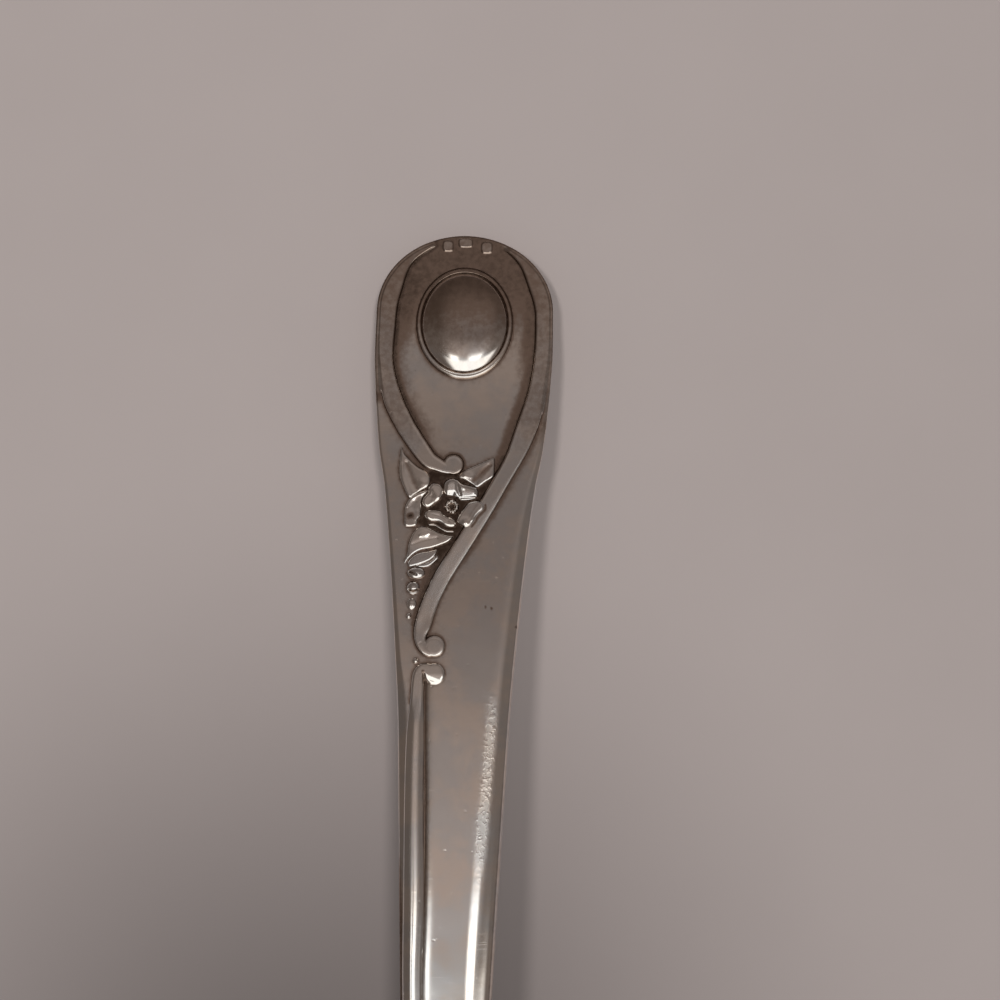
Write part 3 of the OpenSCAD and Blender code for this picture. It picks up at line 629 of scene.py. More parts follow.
# %% Leaf strokes
STROKES = {
    "upper_left_leaf": [
        (0.03, [(-4.57, 18.5, 0.12), (-4.5, 19.4, 0.13), (-4.21, 20.33, 0.13), (-3.95, 20.9, 0.12)]),
        (-0.05, [(-4.25, 18.4, 0.24), (-4.1, 18.75, 0.28), (-3.68, 19.7, 0.32), (-3.35, 20.4, 0.26)]),
        (0.035, [(-2.8, 19.9, 0.3)])],
    "upper_right_leaf": [
        (0.05, [(0.41, 19.2, 0.22), (0.72, 19.3, 0.24)]),
        (-0.04, [(1.24, 19.75, 0.16), (1.6, 19.15, 0.26), (2.22, 18.45, 0.2)]),
        (0.015, [(1.48, 19.85, 0.12), (2.02, 19.53, 0.12)])],
    "curled_leaf": [
        (0.03, [(-2.64, 20.6, 0.1), (-3.34, 20.87, 0.13), (-3.87, 21.3, 0.14), (-4.09, 21.75, 0.12)]),
        (-0.03, [(-3.5, 21.4, 0.2), (-3.7, 21.8, 0.24)]),
        (0.02, [(-3.24, 22.18, 0.16), (-3.42, 22.73, 0.16)])],
    "large_lower_leaf": [
        (0.04, [(-2.95, 24.0, 0.14), (-2.65, 23.88, 0.22), (-2.35, 23.8, 0.12)]),
        (-0.03, [(-3.52, 24.75, 0.2), (-2.68, 24.42, 0.24), (-1.75, 24.2, 0.16)]),
        (0.015, [(-0.59, 24.1, 0.09), (-1.12, 24.5, 0.1), (-1.73, 24.72, 0.1), (-2.35, 24.89, 0.1),
                (-3.04, 25.05, 0.1), (-3.5, 25.35, 0.11), (-3.95, 25.9, 0.1)])],
    "small_lower_leaf": [
        (0.015, [(-1.75, 25.36, 0.08), (-2.01, 25.7, 0.09), (-2.39, 25.92, 0.09), (-2.86, 26.06, 0.09),
                (-3.16, 26.18, 0.08)])]}
print("leaf strokes", sum(len(cuts) for cuts in STROKES.values()))

# %% Leaf rule
LEAF_HEIGHT, LEAF_RUN = 0.18, 0.16
BLADE_HEIGHT, BLADE_RUN, LINE_HEIGHT = 0.13, 0.1, 0.12


def closed(points, steps=6):
    """A smooth closed outline through points."""
    b = np.array(points, float)
    a, c, d = np.roll(b, 1, 0), np.roll(b, -1, 0), np.roll(b, -2, 0)
    t = (np.arange(steps) / steps)[:, None, None]
    made = 0.5 * (2 * b + (c - a) * t + (2 * a - 5 * b + 4 * c - d) * t ** 2
                  + (3 * b - 3 * c + d - a) * t ** 3)
    return made.transpose(1, 0, 2).reshape(-1, 2)


def within(points, margin=0.6):
    """How far every lattice point lies inside a closed outline. Outside it is negative."""
    line = closed(points)
    (u0, v0), (u1, v1) = line.min(0) - margin, line.max(0) + margin
    near = (U > u0) & (U < u1) & (V > v0) & (V < v1)
    u, v = U[near], V[near]
    is_in, gap = np.zeros(u.shape, bool), np.full(u.shape, -OUTSIDE)
    for (x0, y0), (x1, y1) in zip(line, np.roll(line, -1, 0)):
        dx, dy = x1 - x0, y1 - y0
        t = np.clip(((u - x0) * dx + (v - y0) * dy) / (dx * dx + dy * dy), 0, 1)
        gap = np.minimum(gap, np.hypot(u - x0 - t * dx, v - y0 - t * dy))
        if dy:
            is_in ^= ((y0 > v) != (y1 > v)) & (u < dx * (v - y0) / dy + x0)
    depth = np.full(U.shape, OUTSIDE)
    depth[near] = np.where(is_in, gap, -gap)
    return depth


def carved(outline, height, run, strokes):
    """Height of a cushion on an outline, with its cuts."""
    depth = within(outline)
    share = np.clip(1 - depth / run, 0, 1)
    body = np.where(depth > 0, height * np.sqrt(1 - share * share), depth)
    for amount, points in strokes:
        body = body + amount * stroke(points) * ease((depth + 0.05) / 0.12)
    return body


for name, outline in LEAVES.items():
    struck[name] = carved(outline, LEAF_HEIGHT, LEAF_RUN, STROKES[name])
blade = carved(LOWER_BLADE, BLADE_HEIGHT, BLADE_RUN, [])
struck["small_lower_leaf"] = np.maximum(struck["small_lower_leaf"], blade)
thin = through(THIN_LINE, 12)
depth, row = inside(thin, U, V)
vein = raised(depth, thin[row, 2], LINE_HEIGHT)
struck["large_lower_leaf"] = np.maximum(struck["large_lower_leaf"], vein)
print("leaf heights", [round(float(struck[name].max()), 2) for name in LEAVES], "mm")

# %% [markdown]
# ## Flower
# Four broad petals stand round a small beaded ring. Each is a closed outline like the leaves, raised
# higher and rounder. The upper petal's top also leans towards the bowl, so that it lights up.

# %% Petal outlines
PETALS = {
    "top": [(-1.29, 20.18), (-1.26, 19.87), (-1.03, 19.59), (-0.64, 19.46), (-0.29, 19.53), (0.03, 19.8),
            (0.46, 19.94), (0.94, 20.05), (1.33, 20.24), (1.46, 20.58), (1.35, 20.94), (0.89, 21.15),
            (0.42, 21.23), (0.07, 21.2), (-0.25, 20.98), (-0.6, 20.87), (-1.03, 20.84), (-1.28, 20.53)],
    "left": [(-2.46, 20.21), (-2.23, 19.93), (-1.96, 19.87), (-1.57, 19.99), (-1.34, 20.26), (-1.29, 20.57),
             (-1.38, 20.93), (-1.61, 21.25), (-1.87, 21.45), (-2.1, 21.65), (-2.37, 21.81), (-2.7, 21.78),
             (-2.94, 21.51), (-2.91, 21.16), (-2.69, 20.88), (-2.48, 20.64), (-2.5, 20.45)],
    "lower": [(-2.74, 22.32), (-2.48, 22.03), (-1.97, 21.97), (-1.47, 22.04), (-1.26, 22.27),
              (-0.95, 22.46), (-0.51, 22.61), (-0.23, 22.89), (-0.3, 23.24), (-0.65, 23.32), (-1.08, 23.22),
              (-1.44, 22.99), (-1.75, 22.87), (-2.14, 22.88), (-2.57, 22.71)],
    "right": [(-0.2, 22.73), (0.01, 22.26), (0.31, 21.82), (0.62, 21.42), (1.12, 21.22), (1.63, 21.21),
              (1.95, 21.47), (1.92, 21.86), (1.62, 22.14), (1.35, 22.46), (1.21, 22.77), (0.94, 23.13),
              (0.56, 23.33), (0.24, 23.21), (-0.05, 23.0)]}
# Height, the place where it holds, lean along the spoon, and run of the side.
LEAN = {"top": (0.34, 20.3, -0.1, 0.42), "left": (0.25, 20.9, 0.0, 0.24), "lower": (0.25, 22.6, 0.0, 0.26),
        "right": (0.39, 22.2, 0.0, 0.2)}
PETAL_STROKES = {
    "top": [(-0.1, [(-0.7, 20.66, 0.14), (-0.5, 20.66, 0.14)]),
            (-0.08, [(-0.24, 19.92, 0.12), (-0.15, 20.39, 0.16), (0.02, 20.78, 0.12)]),
            (0.04, [(-0.08, 19.96, 0.1), (0.32, 20.22, 0.12)]),
            (0.02, [(0.5, 20.5, 0.26), (1.0, 20.5, 0.26)]),
            (-0.1, [(0.1, 20.98, 0.07), (0.65, 20.97, 0.08), (1.19, 20.92, 0.07)])],
    "left": [(0.04, [(-2.02, 20.44, 0.16), (-1.78, 20.78, 0.2), (-1.61, 21.05, 0.16)]),
             (0.03, [(-2.77, 21.45, 0.14), (-2.45, 21.55, 0.16), (-2.07, 21.36, 0.14)]),
             (-0.04, [(-2.3, 20.98, 0.26)])],
    "lower": [(-0.03, [(-2.12, 22.35, 0.2), (-1.49, 22.53, 0.2), (-0.93, 22.86, 0.18)])],
    "right": [(0.03, [(1.75, 21.6, 0.12), (1.28, 22.2, 0.12), (1.0, 22.7, 0.12)]),
              (0.07, [(0.5, 22.86, 0.26)])]}
print("petals", len(PETALS))

# %% Petal and eye rules
FLOWER_AT = (-0.6, 21.69)
EYE_HEIGHT, EYE_HALF, EYE_RING, EYE_THICK = 0.34, 0.58, 0.4, 0.13
EYE_BEADS, BEAD_SHARE, EYE_FLOOR = 7, 0.3, 0.03
petal_heights = []
for name, outline in PETALS.items():
    height, middle, lean, run = LEAN[name]
    petal_heights.append(carved(outline, height + lean * (V - middle), run, PETAL_STROKES[name]))
struck["flower_petals"] = np.max(petal_heights, axis=0)
r = np.hypot(U - FLOWER_AT[0], V - FLOWER_AT[1])
turn = np.arctan2(V - FLOWER_AT[1], U - FLOWER_AT[0])
ring = ridge(r - EYE_RING, EYE_THICK) * (1 - BEAD_SHARE + BEAD_SHARE * np.cos(EYE_BEADS * turn))
struck["flower_eye"] = np.where(r < EYE_HALF, EYE_HEIGHT * ring + EYE_FLOOR, raised(EYE_HALF - r, 0.1, 0.1))
print("petals and eye", [round(float(struck[n].max()), 2) for n in ("flower_petals", "flower_eye")], "mm")

# %% [markdown]
# ## Buds
# Below the leaves hangs a spray of buds that get smaller, and one pearl stands between the two lowest
# bulbs. Each is a small dome, and the two largest are cut across with one stroke.

# %% Bud rule
BUD_HEIGHT, BUD_SPREAD = 0.4, 0.54
BUDS = [(-3.22, 26.92, 1.3, 0.85, 1), (-3.42, 28.05, 0.95, 0.95, 0.95), (-3.5, 29.3, 0.7, 0.8, 0.4),
        (-3.69, 30.2, 0.36, 0.42, 0.55), (-3.04, 33.6, 0.4, 0.4, 0.5)]
BUD_STROKES = [
    (-0.26, [(-3.75, 26.83, 0.07), (-3.5, 26.9, 0.08), (-3.2, 27.02, 0.06)]),
    (-0.3, [(-3.72, 28.2, 0.07), (-3.4, 28.3, 0.1), (-3.02, 28.18, 0.07)])]


def dome(middle, half_across, half_along, height, u, v):
    """Height of half an ellipsoid, negative outside it."""
    r = np.hypot((u - middle[0]) / half_across, (v - middle[1]) / half_along)
    return np.where(r < 1, height * np.sqrt(np.clip(1 - r * r, 0, 1)), (1 - r) * half_across)


struck["bud_spray"] = np.max([dome((u, v), BUD_SPREAD * w, BUD_SPREAD * l, h * BUD_HEIGHT, U, V)
                              for u, v, w, l, h in BUDS], axis=0)
on_bud = ease(struck["bud_spray"] / 0.1)
for amount, points in BUD_STROKES:
    struck["bud_spray"] += amount * stroke(points) * on_bud
print("buds", len(BUDS))

# %% [markdown]
# ## Reed
# A round reed with a slight ridge runs along the left edge from the neck and ends in a bulb under the
# right border's curl. It is far longer than the lattice, so its rule is also read on a grid of its own.

# %% Reed rule
REED_WIDTH, REED_HEIGHT = 1.3, 0.24
REED = [(-1, 91, 0.3, 0.4), (-1, 84, 0.7, 0.9), (-0.98, 74.5, 0.95, 1), (-0.97, 64, 1.1, 1)]
REED_HOOK = [(-2.62, 57.3, 0.72, 1), (-2.67, 51.4, 0.76, 1), (-2.88, 44, 0.7, 1), (-2.92, 39.3, 0.66, 1),
             (-2.86, 36.54, 0.52, 1), (-2.84, 35.5, 0.5, 1), (-2.8, 34.66, 0.45, 1),
             (-2.6, 34.25, 0.4, 1), (-2.2, 34.2, 0.44, 1), (-2.0, 34.35, 0.5, 1)]
reed_path = band_path(REED, REED_WIDTH, REED_HEIGHT, REED_HOOK, steps=60)
CURL_END, CURL_MIX, REED_TOP = 36, 2.5, 33
RIDGE_SHARP, RIDGE_ROUND = 1.6, 0.6
CURL_RUN, CURL_SHARE = 0.22, 0.8
BULB_FALL, BULB_STEP = 0.06, 0.035
reed_middle = reed_path[reed_path[:, 1] > CURL_END][::-1]


def left_drop(u, v):
    """How far the rounded left shoulder lies below the face."""
    wide = shoulder(LEFT_ROWS, v)
    turn = np.clip(1 - (half_width(v) + u) / wide, 0, 1)
    return SHOULDER_FALL * wide * (1 - np.sqrt(1 - turn * turn))


def reed(u, v):
    """Height of the reed, which is ridged along the handle and flatter where it curls."""
    middle, half, height = (np.interp(v, reed_middle[:, 1], reed_middle[:, k]) for k in (0, 2, 3))
    off = np.abs(u - middle) / half
    top = height * np.clip(1 - off ** RIDGE_SHARP, 0, 1) ** RIDGE_ROUND
    straight = np.where(off < 1, top, (1 - off) * half)
    bend, _ = inside(reed_path[reed_path[:, 1] < CURL_END + 4], u, v)
    end, _ = inside(disc(REED_BALL, BALL_HALF), u, v)
    slant = v - REED_BALL[1] - 0.4 * (u - REED_BALL[0])
    tip = BULB_FALL * ease((v - REED_BALL[1] + 0.05) / 0.9) + BULB_STEP * rises(slant, 0.2, 0.42)
    tip = tip * ease((end + 0.02) / 0.08)
    depth = np.maximum(bend, end)
    share = np.clip(1 - depth / CURL_RUN, 0, 1)
    curl = np.where(depth > 0, CURL_SHARE * REED_HEIGHT * np.sqrt(1 - share * share), depth) - tip
    mix = rises(v, CURL_END, CURL_MIX)
    return np.where(v > REED_TOP, mix * straight + (1 - mix) * curl, -1)


struck["edge_reed"] = reed(U, V)
print("reed", len(reed_path), "points")

# %% [markdown]
# ## Boss
# A plain oval boss with a narrow rim fills the middle of the medallion. Its height depends only on the
# distance from its edge, so one profile turned about its middle makes it.

# %% Boss rule
BOSS_HALF, BOSS_LONG, BOSS_HEIGHT, BOSS_AT = 3.85, 4.5, 1.0, 7.1
RIM_WIDTH, RIM_HEIGHT, RIM_GROOVE = 0.42, 0.3, 0.17
RIM_SIDE, RIM_TOP, CROWN_GAP, CROWN_POWER = 0.16, 0.3, 0.05, 0.9


def boss_height(share):
    """Height at a share of the way from the middle to the edge."""
    depth = (1 - share) * BOSS_HALF
    rim = raised(depth, RIM_SIDE, RIM_HEIGHT)
    inner = 1 - (RIM_WIDTH + CROWN_GAP) / BOSS_HALF
    arc = np.sqrt(np.clip(1 - (share / inner) ** 2, 0, 1)) ** CROWN_POWER
    crown = RIM_GROOVE + (BOSS_HEIGHT - RIM_GROOVE) * arc
    dip = RIM_HEIGHT - (RIM_HEIGHT - RIM_GROOVE) * rises(depth, RIM_TOP, RIM_SIDE)
    return np.where(depth < RIM_TOP, rim, np.where(share < inner, crown, dip))


struck["medallion_boss"] = boss_height(np.hypot(U / BOSS_HALF, (V - BOSS_AT) / BOSS_LONG))
print("boss height", round(float(struck["medallion_boss"].max()), 2), "mm")

# %% [markdown]
# ## Where the tarnish stays
# A polishing cloth rides over the raised parts and misses the hollows. Softening the whole relief and
# taking away the relief itself gives that: it is positive in a hollow and negative on a crest.

# %% Hollows
FINE_RADIUS, FINE_DEPTH, BROAD_RADIUS, BROAD_DEPTH = 0.12, 0.1, 0.5, 0.2
relief = np.maximum(0, np.max(list(struck.values()), axis=0))


def soften(field, radius):
    """The field with detail finer than a radius in mm smoothed away."""
    edge = int(3 * radius / PITCH)
    padded = np.pad(field, edge, mode="edge")
    fu, fv = np.fft.rfftfreq(padded.shape[1], PITCH), np.fft.fftfreq(padded.shape[0], PITCH)
    pass_band = np.exp(-2 * (math.pi * radius) ** 2 * (fu[None, :] ** 2 + fv[:, None] ** 2))
    made = np.fft.irfft2(np.fft.rfft2(padded) * pass_band, padded.shape)
    return made[edge:-edge, edge:-edge]


fine = np.clip((soften(relief, FINE_RADIUS) - relief) / FINE_DEPTH, 0, 1)
broad = np.clip((soften(relief, BROAD_RADIUS) - relief) / BROAD_DEPTH, 0, 1)
creases = 0.7 * fine + 0.45 * broad
print("creases cover", round(float((creases > 0.3).mean()) * 100, 1), "% of the broad end")

# %% [markdown]
# ### Film and crust
# The medallion's field has a brown veil that thins downwards and is thick in the coves beside the bands.
# The bands keep a thin film on top and dark lines along their walls. The flower's bed is crusted between
# the leaves, and a painted shade lies on the face along the diagonal band. Where a line below starts with
# a number, that much stays there.

# %% Field and bands
left_line = np.interp(V, left_path[:, 1], left_path[:, 0])
off_bands = -np.maximum(left_depth, right_depth)
between = (U > left_line) & (U < right_line) & (off_bands > 0)
inner = (U > left_line) & (U < right_line) & (edge_gap > 0.5)

veil = 0.64 * fades(V, 3.5, 8.5)
upper = fades(V, 5, 6)
wide_cove = (0.4 + 0.3 * upper) * fades(-left_depth, upper, 1.8) * rises(V, 1, 2.5)
left_cove = np.maximum(0.8 * ridge(left_depth + 0.1, 0.4), wide_cove) * fades(V, 15, 3)
right_cove = 0.62 * fades(-right_depth, 0.5, 1.3) * fades(V, 8, 6)
narrow_cove = 0.6 * fades(-right_depth, 0.3, 0.8) * fades(V, 17, 2.5)
film = np.where(between, np.maximum.reduce([left_cove, right_cove, narrow_cove, veil]), 0)

on_band = (0.28 + 0.16 * fades(V, 3, 8)) * fades(V, 14, 5)
film = np.where((off_bands <= 0) & (V < 20), on_band, film)
inner_wall = np.where(inner, 0.8 * ridge(off_bands - 0.02, 0.16), 0)
left_wall = np.where((U < left_line) & (V < 19.5), 0.6 * rises(V, 9, 4) * ridge(off_bands - 0.02, 0.12), 0)
beside = 0.5 * rises(V, 13, 3) * fades(V, 25.5, 2.5) * ridge(off_bands, 0.4)
right_wall = np.where((U > right_line) & (off_bands > 0), beside, 0)
walls = np.maximum.reduce([inner_wall, left_wall, right_wall])
print("most film and most on the walls", round(float(film.max()), 2), round(float(walls.max()), 2))

# %% Flower's bed
FLOWER_BED = [(-2.43, 18.93), (-0.08, 18.8), (1.2, 19.7), (2.64, 19.36), (1.73, 21.07), (0.19, 23.41),
              (-0.93, 25.34), (-2.1, 26.4), (-2.0, 24.9), (-2.6, 23.5), (-3.17, 23.1), (-3.1, 22.1),
              (-2.64, 20.3)]
BED_TOP, SHADE_TOP = 0.06, 0.05
bed = within(FLOWER_BED)
ground = np.where((relief < BED_TOP) & (right_depth < 0.1), 0.92 * ease((bed + 0.2) / 0.3), 0)
eye_hole = 0.95 * ridge(np.hypot(U - FLOWER_AT[0], V - FLOWER_AT[1]), 0.22)
reach = np.interp(V, [18, 27, 30.5], [0.7, 0.8, 0.25])
# Painted shade on the face along the left side of the diagonal band.
shade = np.where((relief < SHADE_TOP) & (U < right_line) & (V > 17.6) & (V < 31),
                 0.85 * ridge(right_depth, reach), 0)
# The map holds the tarnish and this painted shade together.
hollow = np.clip(np.maximum.reduce([creases, film, walls, ground, eye_hole, shade]), 0, 1)
print("crust covers", round(float((ground > 0.5).mean()) * 100, 1), "% of the broad end")

# %% [markdown]
# ### Rubbed tops and last traces
# What stands up is rubbed clean. A little is left round the right petal, in the reed's curl and in the
# folds of the two upper leaves. The curled leaf's hole is not cut: a dark spot of tarnish and painted
# shade stands for it.

# %% Map of tarnish and painted shade
TRACES = [
    # The curled leaf's hole: a dark spot of tarnish and painted shade.
    (1.0, [(-3.88, 22.5, 0.22), (-3.74, 22.46, 0.22)]),
    (0.8, [(2.03, 21.5, 0.08), (1.99, 21.9, 0.1), (1.7, 22.2, 0.1), (1.43, 22.52, 0.1), (1.29, 22.83, 0.1),
           (1.0, 23.2, 0.08)]),
    (0.9, [(-2.44, 34.38, 0.11), (-2.36, 34.8, 0.12), (-2.32, 35.3, 0.1)]),
    (0.48, [(1.1, 19.6, 0.2), (1.6, 19.1, 0.32), (2.3, 18.4, 0.24)]),
    (0.34, [(-4.4, 18.2, 0.12), (-4.1, 18.75, 0.22), (-3.68, 19.7, 0.26), (-3.4, 20.3, 0.2)])]
TONGUES_RUBBED, TOPS_RUBBED = 0.5, 0.8
tongue_tops = rises(struck["crest_beads"], 0.05, 0.04)
tops = np.max([rises(struck[n], 0.09, 0.07) for n in (*LEAVES, "flower_petals", "bud_spray")], axis=0)
hollow = hollow * (1 - TONGUES_RUBBED * tongue_tops) * (1 - TOPS_RUBBED * tops)
for amount, points in TRACES:
    hollow = np.maximum(hollow, amount * stroke(points))


def tarnish_and_shade_at(u, v, z):
    """Tarnish and painted shade of points by their place on the lattice, and none past its end."""
    i = np.clip(v / PITCH, 0, U.shape[0] - 1.001)
    j = np.clip((u + LATTICE_HALF) / PITCH, 0, U.shape[1] - 1.001)
    i0, j0 = i.astype(int), j.astype(int)
    a, b = i - i0, j - j0
    value = (hollow[i0, j0] * (1 - a) * (1 - b) + hollow[i0 + 1, j0] * a * (1 - b)
             + hollow[i0, j0 + 1] * (1 - a) * b + hollow[i0 + 1, j0 + 1] * a * b)
    return np.where(v < LATTICE_LENGTH - 0.1, value, 0)


print("grime covers", round(float((hollow > 0.5).mean()) * 100, 1), "% of the broad end")

# %% [markdown]
# ## Striking the relief pieces
# A grid from bmesh.ops.create_grid is laid over the part of the lattice that a motif covers, its points
# are lifted to the motif's heights, and what lies below the face is cut off. The open edge is then
# extruded a little further down and filled, so that each piece is a closed solid seated in the handle.

# %% Strike
SUNK = 0.07
FOOT, REED_FOOT = 0.05, 0.3


def strike(name, u, v, height, piece_name, foot=FOOT, base=0.0):
    """Makes a closed piece from heights over a grid of places on the face."""
    rows, columns = height.shape
    bm = bmesh.new()
    bmesh.ops.create_grid(bm, x_segments=columns - 1, y_segments=rows - 1, size=1.0)
    z = face_z(v) + height + base
    for vert, x, along, up in zip(bm.verts, u.ravel(), v.ravel(), z.ravel()):
        vert.co = (x * MM, (TIP_Y - along) * MM, up * MM)
    sunk = height.ravel() < -SUNK
    bm.verts.ensure_lookup_table()
    bmesh.ops.delete(bm, geom=[bm.verts[i] for i in np.flatnonzero(sunk)], context="VERTS")
    loose = [vert for vert in bm.verts if not vert.link_faces]
    bmesh.ops.delete(bm, geom=loose, context="VERTS")
    rim = [edge for edge in bm.edges if edge.is_boundary]
    skirt = bmesh.ops.extrude_edge_only(bm, edges=rim)["geom"]
    low = [g for g in skirt if isinstance(g, bmesh.types.BMVert)]
    bmesh.ops.translate(bm, verts=low, vec=(0, 0, -foot * MM))
    bmesh.ops.holes_fill(bm, edges=[g for g in skirt if isinstance(g, bmesh.types.BMEdge)], sides=0)
    bmesh.ops.recalc_face_normals(bm, faces=bm.faces)
    return keep(bm, piece_name, relief_look, "relief_silver", tarnish_and_shade_at, name)


PIECE_NAMES = {
    "left_scroll": "left_border", "right_scroll": "right_border", "crest_beads": "crest_tongues",
    "flower_petals": "petals", "flower_eye": "beaded_eye", "upper_left_leaf": "leaf_upper_left",
    "upper_right_leaf": "leaf_upper_right", "curled_leaf": "leaf_curled",
    "large_lower_leaf": "leaf_large_lower", "small_lower_leaf": "leaf_small_lower", "bud_spray": "buds"}
for node, piece_name in PIECE_NAMES.items():
    rows, columns = np.nonzero(struck[node] > -SUNK)
    window = np.s_[max(rows.min() - 1, 0):rows.max() + 2, max(columns.min() - 1, 0):columns.max() + 2]
    strike(node, U[window], V[window], struck[node][window], piece_name)

# %% [markdown]
# ## The reed's own grid
# The reed's grid has close rows round the bulb and wide ones down the handle. Each row spans the reed
# and, near the bulb, the bulb as well.

# %% Reed piece
REED_MARGIN, BULB_LEFT, BULB_RIGHT, REED_COLUMNS = 0.9, 0.2, 1.5, 56
reed_v = np.concatenate([np.arange(33.5, 37.0, 0.05), np.arange(37.0, 91.3, 0.3)])
line = np.interp(reed_v, reed_middle[:, 1], reed_middle[:, 0])
to_bulb = fades(reed_v, 35.5, 1.2)
low_u = line - REED_MARGIN - BULB_LEFT * to_bulb
high_u = line + REED_MARGIN + BULB_RIGHT * to_bulb
spread = np.linspace(0, 1, REED_COLUMNS)
reed_u = low_u[:, None] + (high_u - low_u)[:, None] * spread
reed_v = np.repeat(reed_v[:, None], len(spread), axis=1)
strike("edge_reed", reed_u, reed_v, reed(reed_u, reed_v), "reed", REED_FOOT, -left_drop(reed_u, reed_v))

# %% [markdown]
# ## The boss, spun
# The boss's profile is a short chain of edges from its sunk foot over the rim to the crown. A full spin
# with merging turns it into a closed solid, which is then stretched to the oval and laid on the face.

# %% Boss piece
SPIN_STEPS, MERGE = 120, 1e-6
BOSS_FOOT, BOSS_SKIRT = -0.25, 1.02
bm = bmesh.new()
shares = np.concatenate([np.linspace(BOSS_SKIRT, 0.8, 40), np.linspace(0.79, 0.0, 40)])
chain = [(0.0, BOSS_FOOT), (BOSS_SKIRT, BOSS_FOOT)] + [(s, float(boss_height(np.array(s)))) for s in shares]
verts = [bm.verts.new((s, 0.0, h)) for s, h in chain]
edges = [bm.edges.new(pair) for pair in zip(verts, verts[1:])]
bmesh.ops.spin(bm, geom=verts + edges, cent=(0, 0, 0), axis=(0, 0, 1), angle=2 * math.pi,
               steps=SPIN_STEPS, use_merge=True)
bmesh.ops.remove_doubles(bm, verts=bm.verts, dist=MERGE)
for vert in bm.verts:
    x, y, h = vert.co
    along = BOSS_AT - BOSS_LONG * y
    vert.co = (BOSS_HALF * x * MM, (TIP_Y - along) * MM, (float(face_z(along)) + h) * MM)
bmesh.ops.recalc_face_normals(bm, faces=bm.faces)
keep(bm, "boss", relief_look, "relief_silver", tarnish_and_shade_at, "medallion_boss")

# %% [markdown]
# ## The bowl
# The bowl is a thin shell of two half-ellipses in plan. Its section runs from the flat underneath up the
# outside, round the lip and down the inside. One full spin of that section gives the shell, and each
# point is then drawn out to the bowl's own plan and rim height.

# %% Bowl curves
BOWL_HALF, BOWL_HEIGHT, BOWL_WALL = 13.5, 7.8, 1.1
HEEL_REACH, LIP_REACH, HEEL_RISE, LIP_RISE = 19.0, 22.0, 0.9, 0.4
BOWL_Y = TIP_Y - HANDLE_LENGTH - HEEL_REACH
LIP_ROUND = 0.45 * BOWL_WALL
REST_LENGTH = 5.0
STEEPNESS, REST_SHARE = 2.4, REST_LENGTH / (HEEL_REACH + LIP_REACH)


def rim_z(angle):
    """Height of the rim, which rises to the heel and the lip."""
    s = np.sin(angle)
    return BOWL_HEIGHT + np.where(s > 0, HEEL_RISE, LIP_RISE) * s * s


def outer_rise(share):
    """Rise of the outer face from the flat underneath to the rim, from 0 to 1."""
    rest = REST_SHARE ** STEEPNESS
    return (np.maximum(share, REST_SHARE) ** STEEPNESS - rest) / (1 - rest)


def outside_z(x, y):
    """Height of the bowl's outer face under a point, and the point's share of the way to the rim."""
    reach = np.where(y > BOWL_Y, HEEL_REACH, LIP_REACH)
    a, b = x / BOWL_HALF, (y - BOWL_Y) / reach
    share = np.hypot(a, b)
    return (rim_z(np.arctan2(b, a)) - LIP_ROUND) * outer_rise(share), share


print("bowl rim at the heel and lip", rim_z(np.radians([90, 270])), "mm")

# %% Bowl piece
BOWL_STEPS, WALL_STEPS, LIP_TURNS = 160, 26, np.radians(np.arange(15, 180, 15))
FLOOR_SHARES = (0.09, 0.05, 0.0)
wall = REST_SHARE + (1 - REST_SHARE) * np.sin(np.linspace(0, math.pi / 2, WALL_STEPS))
section = ([("under", 0.0)] + [("under", s) for s in wall] + [("lip", t) for t in LIP_TURNS]
           + [("hollow", s) for s in wall[::-1]] + [("hollow", s) for s in FLOOR_SHARES])
bm = bmesh.new()
verts = [bm.verts.new((0.0 if (kind != "lip" and s == 0) else 1.0, 0.0, float(k)))
         for k, (kind, s) in enumerate(section)]
edges = [bm.edges.new(pair) for pair in zip(verts, verts[1:])]
bmesh.ops.spin(bm, geom=verts + edges, cent=(0, 0, 0), axis=(0, 0, 1), angle=2 * math.pi,
               steps=BOWL_STEPS, use_merge=True)
bmesh.ops.remove_doubles(bm, verts=bm.verts, dist=MERGE)
for vert in bm.verts:
    kind, s = section[round(vert.co.z)]
    angle = math.atan2(vert.co.y, vert.co.x)
    top = float(rim_z(angle))
    if kind == "under":
        inset, share, z = 0.0, s, (top - LIP_ROUND) * float(outer_rise(s))
    elif kind == "lip":
        inset, share = BOWL_WALL * (1 - math.cos(s)) / 2, 1.0
        z = top - LIP_ROUND * (1 - math.sin(s))
    else:
        inset, share = BOWL_WALL, s
        z = BOWL_WALL + (top - LIP_ROUND - BOWL_WALL) * s ** STEEPNESS
    reach = HEEL_REACH if math.sin(angle) > 0 else LIP_REACH
    vert.co = (share * (BOWL_HALF - inset) * math.cos(angle) * MM,
               (BOWL_Y + share * (reach - inset) * math.sin(angle)) * MM, z * MM)
bmesh.ops.recalc_face_normals(bm, faces=bm.faces)


def bowl_grime(x, v, z):
    """A little tarnish under the heel, where the handle is joined on."""
    from_heel = np.hypot(x / 4.0, (v - HANDLE_LENGTH - 1.0) / 2.5)
    return 0.5 * ridge(from_heel, 1.0) * (z < 7.5)


keep(bm, "spoon_bowl", bowl_look, "bowl_silver", bowl_grime, "bowl")

# %% [markdown]
# ## The handle
# The real handle is rolled from a strip and struck between dies. Here a flat grid is rolled into a tube:
# its columns go once round the section and its rows run from the tip to the drop under the bowl. The
# section has the flat face, a rounded shoulder on each side and rounded lower edges. A shallow groove is
# pressed in beside the reed.

